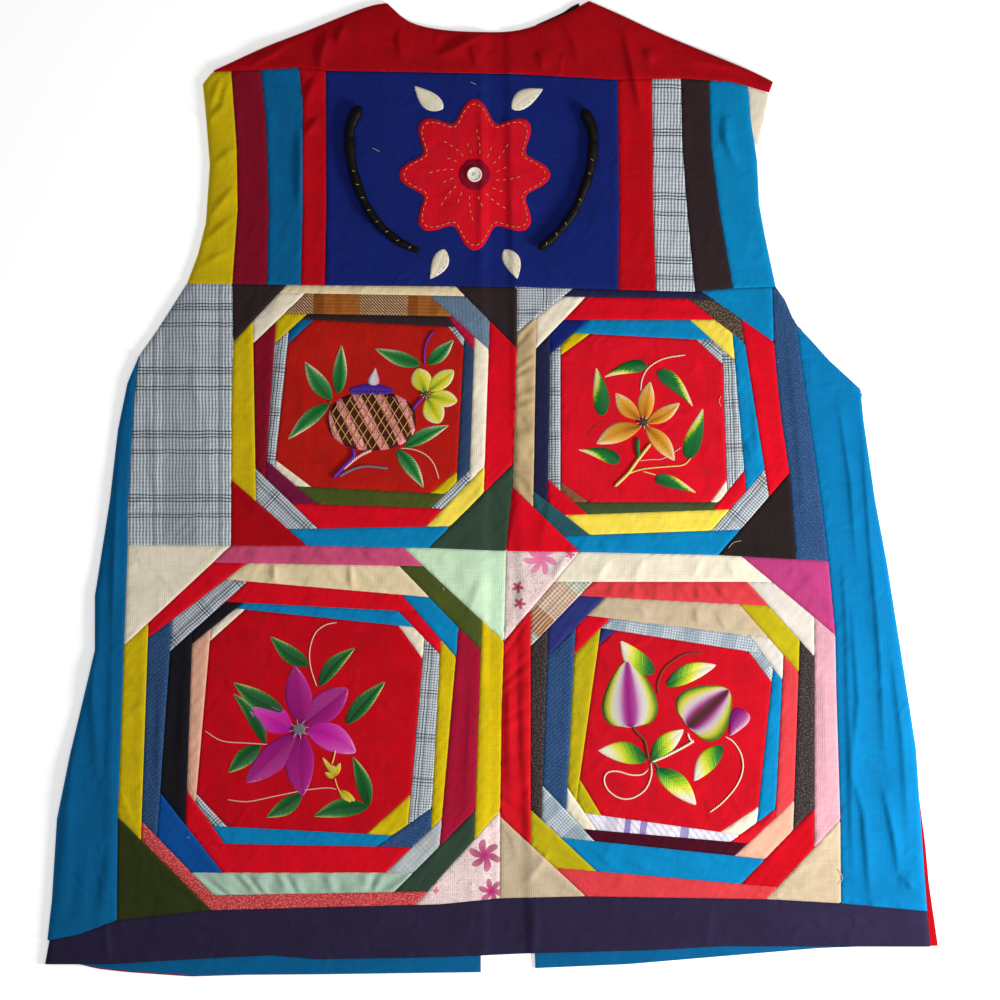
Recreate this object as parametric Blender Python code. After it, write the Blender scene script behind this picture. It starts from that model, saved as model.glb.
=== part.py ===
"""A sleeveless patchwork vest of cotton, laid flat on its two fronts with its back up.

Millimetres are used throughout: x runs to the right from the middle of the garment, y runs up
from its lowest edge to its neck, and z rises from the surface that it lies on. As each mesh is
made it becomes metres, with the origin under the middle of the garment.
"""

import math

import bmesh
import bpy
import numpy as np
from mathutils import Vector

MM = 0.001
MIDDLE = (-0.1, 339.8)  # the middle of the garment's box, where the origin goes
SEAM_GAP = 0.3  # between two pieces that are sewn together
SMALLEST = 0.02  # a point this close to a straight edge isn't a corner
MERGED = 0.04  # points closer than this become one
ON_SEAM, ON_RIDGE = 0.05, 0.1  # how near a point has to be to count as on a seam or a gather
SHARPEST = 0.3  # keeps the inset of a very sharp corner from running away
MEETING_ROUNDS = 12  # steps towards the place where two seams meet
FAR_UP = 500.0  # a height above every block, to draw a line to

# The layers from the floor up: the fronts' outer cloth, their linings and the back on them.
FRONT_THICK = 1.0
LINING_LOW, LINING_THICK = 1.3, 1.0
BACK_LOW, BACK_THICK = 2.6, 2.0
FRONT_INSET = 6.0  # the fronts stay this far inside the back's edge, which rolls over them
LINING_INSET = 8.0
OUTER_SHORTER = 1.2  # how much shorter at the hem a front's outer cloth is than its lining
HEM_ENDS = {"left": -302.0, "right": 298.0}  # where the fronts' hems end at the sides
SHOULDER_SHIFT = 1.5  # the right front's shoulder lies this far further in
CURVE_STEP, NECK_STEP = 30.0, 15.0  # between the points of the fronts' curves
PATCH_THICK = 2.4

# The back's edge rolls down to the floor: how far in, height of the top, height of the underside.
EDGE_ROLL = (
    {"inset": 0.0, "top": 1.7, "low": 0.0},
    {"inset": 1.5, "top": 3.9, "low": 0.0},
    {"inset": 4.2, "top": 4.6, "low": 2.6},
)
ROLL_NEEDS = 10.0  # a piece narrower than this has a narrower roll
# The lower right edge lies on the right front's turned edge instead.
TURNED_FROM_Y, TURNED_LOW = 205.0, 1.3
TURNED_LIFT = 0.6  # how much higher its outermost row is

# The back sags a little between the two fronts' edges.
SAG, SAG_RAMP = 1.4, 6.0
EDGE_CLEAR = 1.5  # the fronts' edges lie this far outside the lines where the sag begins
FRONT_EDGES = {"left": ((-6.1, 0.0), (-6.8, 607.0)), "right": ((29.0, 0.0), (12.8, 607.0))}

GROOVE, GROOVE_HALF = 0.6, 0.8  # depth and half width of a seam inside a patchwork piece
GATHER = 0.8  # height of a gather
GATHER_MARGIN = 8.0  # from the strip's end to its first gather
LAST_STRIP = 15.0  # the width that is gathered of a side's outermost strip

COLOURS = {
    "red": "#C00A14", "bright_red": "#D80A1C", "navy": "#16206F", "turquoise": "#0585C4",
    "yellow": "#C9B100", "burgundy": "#7E0A22", "espresso": "#2C2022", "cream": "#E8DDC0",
    "plaid": "#B9C7D6", "denim": "#2E4668", "hem_navy": "#2E2A42", "green": "#22382C",
    "black": "#141216", "coral": "#E25560", "mint": "#B8E3C0", "pink": "#EDA9C4",
    "charcoal": "#2A2A2E", "mustard": "#C9A800", "beige": "#D2BF9C", "rose": "#B84A80",
}

# The garment's outline and its long seams, as points from the work's own measuring.
NECK = ((-73.3, 680.4), (-58.6, 667.8), (-39.0, 662.2), (-9.6, 660.1), (19.8, 661.5),
        (49.2, 672.0), (68.1, 681.8))
SHOULDER_LEFT = ((-194.4, 633.1), (-159.4, 649.2), (-131.4, 660.1), (-89.4, 676.9), NECK[0])
SHOULDER_RIGHT = (NECK[-1], (91.9, 671.3), (120.6, 658.0), (176.6, 634.9), (196.9, 625.1))
ARMHOLE_LEFT = ((-194.4, 633.1), (-202.1, 623.7), (-200.0, 602.0), (-197.2, 567.0),
                (-200.0, 526.4), (-205.6, 504.0), (-213.0, 484.5), (-225.9, 464.1),
                (-235.0, 450.1), (-246.5, 434.0))
SIDE_LEFT = ((-246.5, 434.0), (-254.9, 414.4), (-261.6, 381.5), (-267.2, 332.5),
             (-277.7, 265.3), (-277.7, 227.5), (-295.2, 154.0), (-304.3, 109.2),
             (-307.8, 52.5), (-313.0, 7.0))
ARMHOLE_RIGHT = ((179.4, 623.0), (181.5, 598.5), (185.7, 569.8), (187.1, 539.7),
                 (191.3, 516.6), (198.8, 481.6), (205.3, 472.5), (210.6, 459.9),
                 (220.7, 449.4), (236.1, 431.9), (258.1, 410.2))
SIDE_RIGHT = ((258.1, 410.2), (260.2, 388.5), (268.3, 332.5), (276.7, 287.7),
              (287.2, 221.2), (297.0, 158.2), (302.6, 73.5), (304.7, 44.8), (306.8, 19.0))
SEAMS_ACROSS = {
    "yoke": ((-194.4, 631.8), (-182.1, 632.4), (-134.9, 634.9), (-116.0, 632.8),
             (12.8, 630.7), (88.0, 626.5), (132.5, 627.2), (167.5, 625.1), (194.1, 617.4)),
    "upper": ((-214.0, 484.0), (-116.7, 482.6), (17.6, 481.6), (88.4, 479.5),
              (143.0, 478.1), (168.9, 480.5), (198.8, 481.6)),
    "middle": ((-254.6, 301.0), (-128.6, 300.3), (-43.2, 298.9), (10.0, 296.8),
               (61.8, 296.1), (157.7, 294.0), (235.4, 289.8)),
    "hem": ((-309.5, 24.5), (-288.2, 28.7), (-262.3, 38.5), (-197.2, 45.5), (-120.9, 47.6),
            (-36.2, 49.7), (5.5, 53.9), (63.9, 55.3), (195.5, 53.2), (244.2, 50.4),
            (304.7, 44.8)),
    "edge": ((-310.6, 7.7), (-267.2, 7.7), (-211.2, 11.2), (-154.5, 14.0), (-120.9, 11.2),
             (-36.2, 12.6), (28.2, 15.4), (110.8, 17.5), (161.9, 20.3), (306.8, 19.9)),
}
SEAMS_UP = {
    "yellow_burgundy": ((-181.4, 483.3), (-177.6, 535.5), (-178.3, 579.6), (-182.1, 633.0)),
    "burgundy_turquoise": ((-157.3, 483.0), (-155.9, 535.5), (-158.0, 598.5), (-161.5, 634.2)),
    "turquoise_red": ((-133.5, 483.0), (-132.1, 535.5), (-132.1, 612.5), (-134.9, 635.0)),
    "red_panel": ((-116.7, 482.6), (-115.6, 535.5), (-116.0, 633.0)),
    "panel_red": ((88.4, 479.5), (89.1, 535.5), (88.0, 626.5)),
    "red_plaid": ((115.0, 478.8), (112.9, 535.5), (112.2, 627.0)),
    "plaid_espresso": ((142.3, 478.1), (136.7, 535.5), (133.2, 583.8), (132.5, 627.2)),
    "espresso_turquoise": ((168.6, 480.5), (159.1, 535.5), (153.5, 579.6), (152.1, 626.5)),
    "centre": ((5.5, 53.0), (5.8, 111.3), (6.8, 182.7), (8.6, 236.6), (10.0, 296.8),
               (14.7, 343.0), (16.0, 382.9), (17.6, 440.3), (17.6, 482.0)),
    "plaid_block": ((-182.5, 300.0), (-182.1, 386.4), (-180.8, 443.1), (-181.4, 484.0)),
    "side_plaid": ((-262.3, 38.5), (-261.6, 109.2), (-257.1, 232.0), (-254.6, 301.0),
                   (-254.6, 324.1), (-252.5, 361.2), (-250.4, 399.0), (-246.5, 434.0)),
    "block_wedge": ((213.0, 290.0), (208.1, 352.1), (202.5, 388.5), (199.7, 415.1),
                    (197.2, 444.5), (196.2, 482.0)),
    "wedge_side": ((244.2, 50.4), (243.8, 109.2), (241.0, 198.8), (240.3, 238.7),
                   (235.4, 289.8), (230.2, 332.5), (222.1, 388.5), (212.4, 458.0)),
}
YOKE_LEFT_END, YOKE_RIGHT_END = -192.5, ((194.1, 617.4), (196.9, 625.1))
HEM_LEFT_END, HEM_RIGHT_END = ((-312.6, 7.7), (-309.5, 24.5)), ((307.2, 19.9), (304.7, 44.8))
LEFT_PANEL_BELOW = 4.0  # the left side panel ends this far under the armhole
SIDE_PANEL_TOP = ((205, 460.5), (212.4, 455.5), (222, 446), (236, 430.4), (256.5, 411.5),
                  (262, 405))
CREAM_PATCH = ((183.8, 590.0), (186.0, 579.6), (190.6, 598.5), (194.1, 616.7), (181.0, 621.5))
LINING_HEM = {
    "left": ((-276.3, 5.5), (-254.6, 3.0), (-210.5, 0.0), (-120.9, 0.6), (-6.1, 2.1)),
    "right": ((29.0, 4.9), (95.4, 7.7), (161.9, 13.3), (229.1, 18.9), (300.0, 21.5)),
}
FRONT_NECK = {
    "left": ((-6.8, 607.0), (-30.0, 618.0), (-56.0, 645.0), (-73.3, 680.4)),
    "right": ((68.1, 681.8), (52.0, 668.0), (26.0, 636.0), (12.8, 607.0)),
}
TURNED_EDGE = ((296.0, 165.0), (304.7, 91.0), (306.1, 64.4), (313.1, 19.9), (300.0, 18.6))

# The largest folds of the pieces that are made as a grid: where each begins and ends, how wide
# it is and how far it rises, or sinks if negative.
FOLDS = (
    {"from": (91, 668), "to": (112, 628), "wide": 16, "rise": 1.6},
    {"from": (70, 662), "to": (84, 634), "wide": 14, "rise": 1.2},
    {"from": (-6, 658), "to": (-48, 640), "wide": 14, "rise": 1.4},
    {"from": (-113, 662), "to": (-121, 638), "wide": 12, "rise": 1.0},
    {"from": (252, 330), "to": (272, 90), "wide": 20, "rise": 1.8},
    {"from": (268, 250), "to": (290, 60), "wide": 16, "rise": 1.4},
    {"from": (-266, 300), "to": (-282, 70), "wide": 18, "rise": 1.4},
    {"from": (-268, 10), "to": (-270, 38), "wide": 14, "rise": 1.2},
    {"from": (150, 18), "to": (154, 54), "wide": 18, "rise": 0.9},
)

# The patchwork blocks. Each strip is a row of its side: its cloth, how far its outer edge lies
# from the block's middle, and how many degrees that edge is turned. The last one of a straight
# side ends at the block's own edge, and the last one of a slanted side is the corner.
BLOCKS = {
    "upper_left": {"middle": (-83, 398), "rounds": 3, "strips": {
        "n": (("centre", 58.4, -3), ("espresso", 63.9, -1), ("check", 78.2, -1), ("cream",)),
        "ne": (("centre", 76.1, -6), ("plaid", 80.2, -7), ("burgundy", 83.9, 3),
               ("denim", 100.1, 0), ("espresso",)),
        "e": (("centre", 61.3, -3), ("navy", 69.2, -2), ("cream", 79.6, -2), ("red",)),
        "se": (("centre", 72.7, -6), ("yellow", 78.9, 0), ("plaid", 85.2, 1),
               ("yellow", 97.6, 0), ("green",)),
        "s": (("centre", 58.7, -3), ("green", 69.9, -2), ("red", 84.8, 1), ("turquoise",)),
        "sw": (("centre", 71.7, 8), ("cream", 77.6, 4), ("burgundy", 88.4, 1),
               ("plaid", 104.1, 4), ("red",)),
        "w": (("centre", 64.4, -6), ("plaid", 72.0, -4), ("burgundy", 83.1, 1), ("yellow",)),
        "nw": (("centre", 72.7, -2), ("turquoise", 78.9, -3), ("yellow", 89.9, -1),
               ("cream", 102.2, 2), ("espresso",)),
    }},
    "upper_right": {"middle": (107, 388), "rounds": 3, "strips": {
        "n": (("centre", 58.7, -3), ("turquoise", 70.5, 0), ("red", 85.8, -1), ("navy",)),
        "ne": (("centre", 66.1, 2), ("plaid", 73.7, 3), ("yellow", 86.6, 7),
               ("espresso", 98.4, 10), ("turquoise",)),
        "e": (("centre", 55.9, 2), ("plaid", 66.7, 5), ("turquoise", 78.6, 9), ("red",)),
        "se": (("centre", 71.6, 9), ("cream", 76.5, 6), ("red", 85.9, 4), ("plaid", 100.8, 4),
               ("black",)),
        "s": (("centre", 57.1, 0), ("green", 64.1, 2), ("yellow", 78.6, 2), ("turquoise",)),
        "sw": (("centre", 69.9, 9), ("espresso", 75.8, 4), ("red", 87.2, 7),
               ("green", 97.6, 1), ("red",)),
        "w": (("centre", 58.9, 0), ("plaid", 66.9, -1), ("navy", 77.0, -1), ("beige",)),
        "nw": (("centre", 72.5, -9), ("yellow", 78.9, -3), ("navy", 89.8, 1),
               ("cream", 104.4, -7), ("plaid",)),
    }},
    "lower_left": {"middle": (-128, 176), "rounds": 4, "strips": {
        "n": (("centre", 75.3, -6), ("turquoise", 82.3, -3), ("red", 95.9, -5),
              ("beige", 111.6, -1), ("rose",)),
        "ne": (("centre", 92.2, -9), ("cream", 99.8, -1), ("red", 108.6, -4),
               ("turquoise", 122.2, -1), ("green", 135.4, 2), ("mint",)),
        "e": (("centre", 75.7, -5), ("plaid", 89.3, -3), ("mustard", 99.0, -5),
              ("burgundy", 118.6, -2), ("mustard",)),
        "se": (("centre", 84.5, -3), ("mustard", 99.1, -10), ("denim", 112.3, -1),
               ("plaid", 125.4, 0), ("green", 140.4, 3), ("pink",)),
        "s": (("centre", 75.0, -3), ("turquoise", 85.1, -1), ("red", 104.2, 0),
              ("mint", 118.8, 1), ("coral",)),
        "sw": (("centre", 90.9, -2), ("plaid", 98.0, -10), ("red", 112.4, -7),
               ("navy", 131.4, -1), ("coral", 140.6, 0), ("green",)),
        "w": (("centre", 74.3, -5), ("cream", 83.6, -2), ("black", 100.6, -4),
              ("denim", 114.6, -2), ("mustard",)),
        "nw": (("centre", 89.4, -3), ("cream", 95.3, -6), ("black", 102.7, -3),
               ("plaid", 116.8, -8), ("red", 128.3, -2), ("cream",)),
    }},
    "lower_right": {"middle": (127, 171), "rounds": 4, "strips": {
        "n": (("centre", 63.9, -9), ("plaid", 73.3, -7), ("beige", 91.0, -3),
              ("coral", 104.3, 0), ("cream",)),
        "ne": (("centre", 76.2, -8), ("plaid", 83.1, -8), ("cream", 93.3, -4),
               ("mustard", 108.3, -3), ("cream", 124.7, 5), ("rose",)),
        "e": (("centre", 65.2, -6), ("turquoise", 74.4, -3), ("coral", 86.3, -2),
              ("charcoal", 98.7, 0), ("pink",)),
        "se": (("centre", 78.6, -11), ("cream", 87.3, -9), ("red", 93.2, -2),
               ("coral", 108.5, 1), ("red", 127.9, 2), ("beige",)),
        "s": (("centre", 66.2, -8), ("cream", 74.1, -5), ("burgundy", 82.9, -6),
              ("turquoise", 102.9, -5), ("coral",)),
        "sw": (("centre", 75.8, -14), ("mustard", 85.1, -11), ("cream", 92.9, -2),
               ("plaid", 108.5, 2), ("mustard", 126.5, 2), ("beige",)),
        "w": (("centre", 60.9, -8), ("mustard", 72.1, -3), ("denim", 90.1, -2),
              ("charcoal", 99.8, 0), ("red",)),
        "nw": (("centre", 79.8, -4), ("navy", 86.9, 0), ("red", 99.4, 1), ("navy", 113.0, 1),
               ("check", 131.5, 5), ("pink",)),
    }},
}
# The seams round each block: left, right, lower and upper.
BLOCK_EDGES = {
    "upper_left": ("plaid_block", "centre", "middle", "upper"),
    "upper_right": ("centre", "block_wedge", "middle", "upper"),
    "lower_left": ("side_plaid", "centre", "hem", "middle"),
    "lower_right": ("centre", "wedge_side", "hem", "middle"),
}
BEARINGS = {"n": 90, "ne": 45, "e": 0, "se": -45, "s": -90, "sw": -135, "w": 180, "nw": 135}
SLANTS = ("ne", "se", "sw", "nw")
STRAIGHTS = ("n", "e", "s", "w")
# Gathered strips: block, side, round, number of gathers.
GATHERED = (
    {"block": "lower_left", "side": "s", "round": 3, "gathers": 8},
    {"block": "lower_left", "side": "n", "round": 3, "gathers": 2},
    {"block": "upper_right", "side": "w", "round": 3, "gathers": 5},
)

ROSETTE = {"middle": (-12, 560), "radius": 46, "wave": 7, "petals": 8, "thick": 1.4}
CORD_RADIUS = 3.3
CORDS = {
    "left": ((-92, 608), (-99, 590), (-96, 560), (-84, 532), (-66, 514), (-50, 506)),
    "right": ((64, 606), (71, 588), (68, 560), (57, 533), (41, 514), (32, 508)),
}


def material(name):
    """A plain cloth finish in one of the named colours."""
    found = bpy.data.materials.get(name)
    if found:
        return found
    made = bpy.data.materials.new(name)
    made.use_nodes = True
    shader = made.node_tree.nodes["Principled BSDF"]
    code = COLOURS[name].lstrip("#")
    srgb = [int(code[i : i + 2], 16) / 255 for i in (0, 2, 4)]
    linear = [c / 12.92 if c <= 0.04045 else ((c + 0.055) / 1.055) ** 2.4 for c in srgb]
    shader.inputs["Base Color"].default_value = (*linear, 1)
    shader.inputs["Roughness"].default_value = 0.85
    return made


def smooth(points, step=12.0):
    """Points along a smooth curve through the given ones, about a step apart."""
    p = [Vector(q) for q in points]
    ends = [p[0] * 2 - p[1]] + p + [p[-1] * 2 - p[-2]]
    out = []
    for a, b, c, d in zip(ends, ends[1:], ends[2:], ends[3:]):
        count = max(1, round((c - b).length / step))
        for i in range(count):
            t = i / count
            out.append((b * 2 + (c - a) * t + (a * 2 - b * 5 + c * 4 - d) * t**2
                        + (b * 3 - a - c * 3 + d) * t**3) / 2)
    return [tuple(q) for q in out] + [tuple(p[-1])]


def across(points, shared=True):
    """A seam that runs across the garment, as y for a given x. Shared ones keep their bends."""
    xs, ys = zip(*sorted(points))

    def y_at(x):
        return float(np.interp(x, xs, ys))

    y_at.bends = xs if shared else ()
    return y_at


def up(points, shared=True):
    """A seam that runs up the garment, as x for a given y. Shared ones keep their bends."""
    ys, xs = zip(*sorted((y, x) for x, y in points))

    def x_at(y):
        return float(np.interp(y, ys, xs))

    x_at.bends = ys if shared else ()
    return x_at


def level(value):
    """An edge that keeps one place all along."""
    return across(((0, value),), False)


front_left_edge, front_right_edge = (up(FRONT_EDGES[s]) for s in ("left", "right"))
SAG_LINES = (
    front_left_edge,
    lambda y: front_left_edge(y) + SAG_RAMP,
    lambda y: front_right_edge(y) - SAG_RAMP,
    front_right_edge,
)


def sag(x, y):
    """How far the back sinks between the fronts' edges."""
    inside = min(x - front_left_edge(y), front_right_edge(y) - x)
    return SAG * min(1.0, max(0.0, inside / SAG_RAMP))


def folds(x, y):
    """How far the largest folds lift the cloth here."""
    total = 0.0
    for fold in FOLDS:
        start, end = Vector(fold["from"]), Vector(fold["to"])
        run = end - start
        along = (Vector((x, y)) - start).dot(run) / run.length_squared
        aside = abs((Vector((x, y)) - start).cross(run)) / run.length
        half = fold["wide"] / 2
        if 0 < along < 1 and aside < half:
            total += fold["rise"] * math.sin(math.pi * along) ** 0.5 * (1 - aside / half)
    return total


def placed_point(x, y, z):
    """A point of the garment in metres from the origin."""
    return (x - MIDDLE[0]) * MM, (y - MIDDLE[1]) * MM, z * MM


def put_mesh(name, vertices, faces, colour):
    """A new object from points in millimetres."""
    mesh = bpy.data.meshes.new(name)
    mesh.from_pydata([placed_point(*v) for v in vertices], [], faces)
    mesh.validate()
    thing = bpy.data.objects.new(name, mesh)
    bpy.context.collection.objects.link(thing)
    mesh.materials.append(material(colour))
    return thing


def wall(name, points, faces, colour):
    """A closed wall. Each point is x, y, top and underside, and faces lie counterclockwise."""
    count = len(points)
    vertices = [(x, y, top) for x, y, top, low in points]
    vertices += [(x, y, low) for x, y, top, low in points]
    edges = {(a, b) for f in faces for a, b in zip(f, f[1:] + f[:1])}
    rim = [(a, b) for a, b in edges if (b, a) not in edges]
    under = [tuple(i + count for i in reversed(f)) for f in faces]
    sides = [(b, a, a + count, b + count) for a, b in rim]
    return put_mesh(name, vertices, [tuple(f) for f in faces] + under + sides, colour)


def stops(length, rolled, inner, spacing):
    """Places along one way of a grid, with rows for a rolled edge at its start or its end."""
    shrink = min(1.0, length / ROLL_NEEDS)
    insets = [row["inset"] * shrink for row in EDGE_ROLL]
    start = insets if rolled[0] else [0.0]
    end = [length - i for i in reversed(insets)] if rolled[1] else [length]
    fixed = [start[-1]]
    for place in sorted(inner):
        if fixed[-1] + 1 < place < end[0] - 1:
            fixed.append(place)
    fixed.append(end[0])
    middle = []
    for a, b in zip(fixed, fixed[1:]):
        count = max(1, round((b - a) / spacing))
        middle += [a + (b - a) * i / count for i in range(count)]
    return start[:-1] + middle + end


def placed(value, length, start, end, rolled):
    """Moves a grid place from its own length to start and end, keeping a rolled edge's width."""
    roll = EDGE_ROLL[-1]["inset"]
    here, there = roll * min(1.0, length / ROLL_NEEDS), roll * min(1.0, (end - start) / ROLL_NEEDS)
    knots = [(0.0, start)] + [(here, start + there)] * rolled[0]
    knots += [(length - here, end - there)] * rolled[1] + [(length, end)]
    return float(np.interp(value, *zip(*knots)))


def edge_heights(inset, x, y):
    """Top and underside at a distance in from the garment's edge."""
    rows = EDGE_ROLL
    reach = [row["inset"] for row in rows]
    top = float(np.interp(inset, reach, [row["top"] for row in rows]))
    low = float(np.interp(inset, reach, [row["low"] for row in rows]))
    if x > 0 and y < TURNED_FROM_Y:
        return top + TURNED_LIFT * (inset < 1), max(low, TURNED_LOW)
    return top, low


def panel(name, colour, left, right, low, high, rolled=(), spacing=(22, 22), lines=(),
          rolled_above=0.0):
    """A piece between two seams that run up and two that run across, as a wall on a grid."""
    half = SEAM_GAP / 2
    roll_x, roll_y = ("left" in rolled, "right" in rolled), ("low" in rolled, "high" in rolled)

    def corner(u, v):
        """The point at u across and v up, in steps towards it."""
        y = (low(0) + high(0)) / 2
        for _ in range(MEETING_ROUNDS):
            x = placed(u, wide, left(y) + half, right(y) - half, roll_x)
            y = placed(v, tall, low(x) + half, high(x) - half, roll_y)
        return x, y

    y0 = (low(0) + high(0)) / 2
    x0 = (left(y0) + right(y0)) / 2
    wide, tall = right(y0) - left(y0), high(x0) - low(x0)
    inner = [line(y0) - left(y0) for line in lines]
    for seam in (low, high):
        shares = [(x - left(seam(x))) / (right(seam(x)) - left(seam(x))) for x in seam.bends]
        inner += [wide * share for share in shares if 0 < share < 1]
    rows = []
    for seam in (left, right):
        shares = [(y - low(seam(y))) / (high(seam(y)) - low(seam(y))) for y in seam.bends]
        rows += [tall * share for share in shares if 0 < share < 1]
    us = stops(wide, roll_x, inner, spacing[0])
    vs = stops(tall, roll_y, rows, spacing[1])
    points = []
    for v in vs:
        for u in us:
            x, y = corner(u, v)
            for line, at in zip(lines, inner):
                if abs(u - at) < 1e-6:
                    x = line(y)
            inset = EDGE_ROLL[-1]["inset"]
            if "left" in rolled and y > rolled_above:
                inset = min(inset, x - left(y) - half)
            if "right" in rolled:
                inset = min(inset, right(y) - half - x)
            if "high" in rolled:
                inset = min(inset, high(x) - half - y)
            if "low" in rolled:
                inset = min(inset, y - low(x) - half)
            top, under = edge_heights(max(0.0, inset), x, y)
            lift = (folds(x, y) - sag(x, y)) * (inset >= EDGE_ROLL[-1]["inset"] - 0.1)
            points.append((x, y, top + lift, under + lift))
    n = len(us)
    faces = [
        (j * n + i, j * n + i + 1, (j + 1) * n + i + 1, (j + 1) * n + i)
        for j in range(len(vs) - 1)
        for i in range(n - 1)
    ]
    return wall(name, points, faces, colour)


def straightened(loop):
    """The loop without points that lie on a straight edge."""
    kept = []
    for i, p in enumerate(loop):
        a, b = Vector(loop[i - 1]), Vector(loop[(i + 1) % len(loop)])
        off = abs((Vector(p) - a).cross(b - a)) / max((b - a).length, 1e-6)
        if off > SMALLEST:
            kept.append(p)
    return kept


def inset_loop(loop, distance):
    """A counterclockwise loop with each edge moved inwards."""
    out = []
    for i, p in enumerate(loop):
        a, p, b = Vector(loop[i - 1]), Vector(p), Vector(loop[(i + 1) % len(loop)])
        d1, d2 = (p - a).normalized(), (b - p).normalized()
        n1, n2 = Vector((-d1.y, d1.x)), Vector((-d2.y, d2.x))
        turn = (n1 + n2).normalized()
        out.append(tuple(p + turn * distance / max(turn.dot(n1), SHARPEST)))
    return out


def plate(name, colour, loop, low, thick):
    """A flat piece of cloth from its outline."""
    points = [(x, y, low + thick, low) for x, y in loop]
    return wall(name, points, [tuple(range(len(loop)))], colour)


def cut(bm, faces, through, normal):
    """Splits the faces along a line. Returns those beyond it and those before it."""
    geom = set(faces)
    for face in faces:
        geom.update(face.edges)
        geom.update(face.verts)
    split = bmesh.ops.bisect_plane(
        bm, geom=list(geom), dist=0.0005, plane_co=(*through, 0), plane_no=(*normal, 0)
    )
    parts = [g for g in split["geom"] if isinstance(g, bmesh.types.BMFace)]
    beyond = [f for f in parts if (f.calc_center_median().xy - through).dot(normal) > 0]
    return beyond, [f for f in parts if f not in beyond]


def strip_line(block, side, ring):
    """A point on a strip's outer edge and the way that edge faces."""
    row = block["strips"][side][ring]
    facing = math.radians(BEARINGS[side] + row[2])
    bearing = math.radians(BEARINGS[side])
    middle = Vector(block["middle"])
    point = middle + Vector((math.cos(bearing), math.sin(bearing))) * row[1]
    return point, Vector((math.cos(facing), math.sin(facing)))


def block_outline(name):
    """The block's own edge, counterclockwise along its four seams."""
    left, right, low, high = BLOCK_EDGES[name]
    x_left, x_right = up(SEAMS_UP[left]), up(SEAMS_UP[right])
    y_low, y_high = across(SEAMS_ACROSS[low]), across(SEAMS_ACROSS[high])

    def meet(x_of, y_of):
        y = y_of(0)
        for _ in range(MEETING_ROUNDS):
            x = x_of(y)
            y = y_of(x)
        return x, y

    sw, se = meet(x_left, y_low), meet(x_right, y_low)
    ne, nw = meet(x_right, y_high), meet(x_left, y_high)
    bottom = [p for p in SEAMS_ACROSS[low] if sw[0] + 2 < p[0] < se[0] - 2]
    rising = [p for p in SEAMS_UP[right] if se[1] + 2 < p[1] < ne[1] - 2]
    top = [p for p in SEAMS_ACROSS[high] if nw[0] + 2 < p[0] < ne[0] - 2]
    falling = [p for p in SEAMS_UP[left] if sw[1] + 2 < p[1] < nw[1] - 2]
    return [sw] + bottom + [se] + rising + [ne] + top[::-1] + [nw] + falling[::-1]


def block_strips(name):
    """Each side's strips as faces of one flat mesh: {(side, round): faces}, and the mesh."""
    block = BLOCKS[name]
    bm = bmesh.new()
    rest = [bm.faces.new([bm.verts.new((x, y, 0)) for x, y in block_outline(name)])]
    strips = {}
    for ring in range(block["rounds"], -1, -1):
        for side in SLANTS:
            strips[side, ring + 1], rest = cut(bm, rest, *strip_line(block, side, ring))
        if ring:
            for side in STRAIGHTS:
                strips[side, ring], rest = cut(bm, rest, *strip_line(block, side, ring - 1))
        else:
            strips["centre", 0] = rest
    for side in STRAIGHTS:
        beyond, rest = cut(bm, rest, *strip_line(block, side, 0))
        strips[side, 1] += [f for f in beyond if f not in strips[side, 1]]
    strips["centre", 0] = rest
    return bm, strips


def outer_loop(faces):
    """The faces' common edge as a counterclockwise list of points."""
    steps = {}
    for face in faces:
        for loop in face.loops:
            if not any(f in faces for f in loop.edge.link_faces if f != face):
                steps[loop.vert] = loop.link_loop_next.vert
    start = vertex = next(iter(steps))
    points = []
    while True:
        points.append(tuple(vertex.co.xy))
        vertex = steps[vertex]
        if vertex == start:
            return points


def stack(block_name, side, faces):
    """One side's strips, sewn to each other, as a wall with a groove along each seam."""
    block = BLOCKS[block_name]
    loop = inset_loop(straightened(outer_loop(faces)), SEAM_GAP / 2)
    bm = bmesh.new()
    bm.faces.new([bm.verts.new((x, y, 0)) for x, y in loop])
    seams = []
    if side != "centre":
        seams = [strip_line(block, side, r) for r in range(1, block["rounds"] + (side in SLANTS))]
    for point, facing in seams:
        for shift in (-GROOVE_HALF, 0, GROOVE_HALF):
            cut(bm, list(bm.faces), point + facing * shift, facing)
    for line in SAG_LINES:
        low, high = Vector((line(0), 0)), Vector((line(FAR_UP), FAR_UP))
        run = (high - low).normalized()
        cut(bm, list(bm.faces), low, Vector((-run.y, run.x)))
    gathers = [g for g in GATHERED if (g["block"], g["side"]) == (block_name, side)]
    ridges = []
    for row in gathers:
        ridges += gather_cuts(bm, block, side, row)
    bmesh.ops.remove_doubles(bm, verts=list(bm.verts), dist=MERGED)
    bm.verts.index_update()
    points = []
    for vertex in bm.verts:
        x, y = vertex.co.xy
        lift = -sag(x, y)
        if any(abs((vertex.co.xy - point).dot(facing)) < ON_SEAM for point, facing in seams):
            lift -= GROOVE
        elif any((vertex.co.xy - spot).length < ON_RIDGE for spot in ridges):
            lift += GATHER
        low = BACK_LOW - sag(x, y)
        points.append((x, y, BACK_LOW + BACK_THICK + lift, low))
    faces = [tuple(v.index for v in face.verts) for face in bm.faces]
    bm.normal_update()
    faces = [f if face.normal.z > 0 else f[::-1] for f, face in zip(faces, bm.faces)]
    bm.free()
    outer = block["strips"][side][-1][0] if side != "centre" else "bright_red"
    wall(f"{block_name}_{side}", points, faces, outer)


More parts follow.
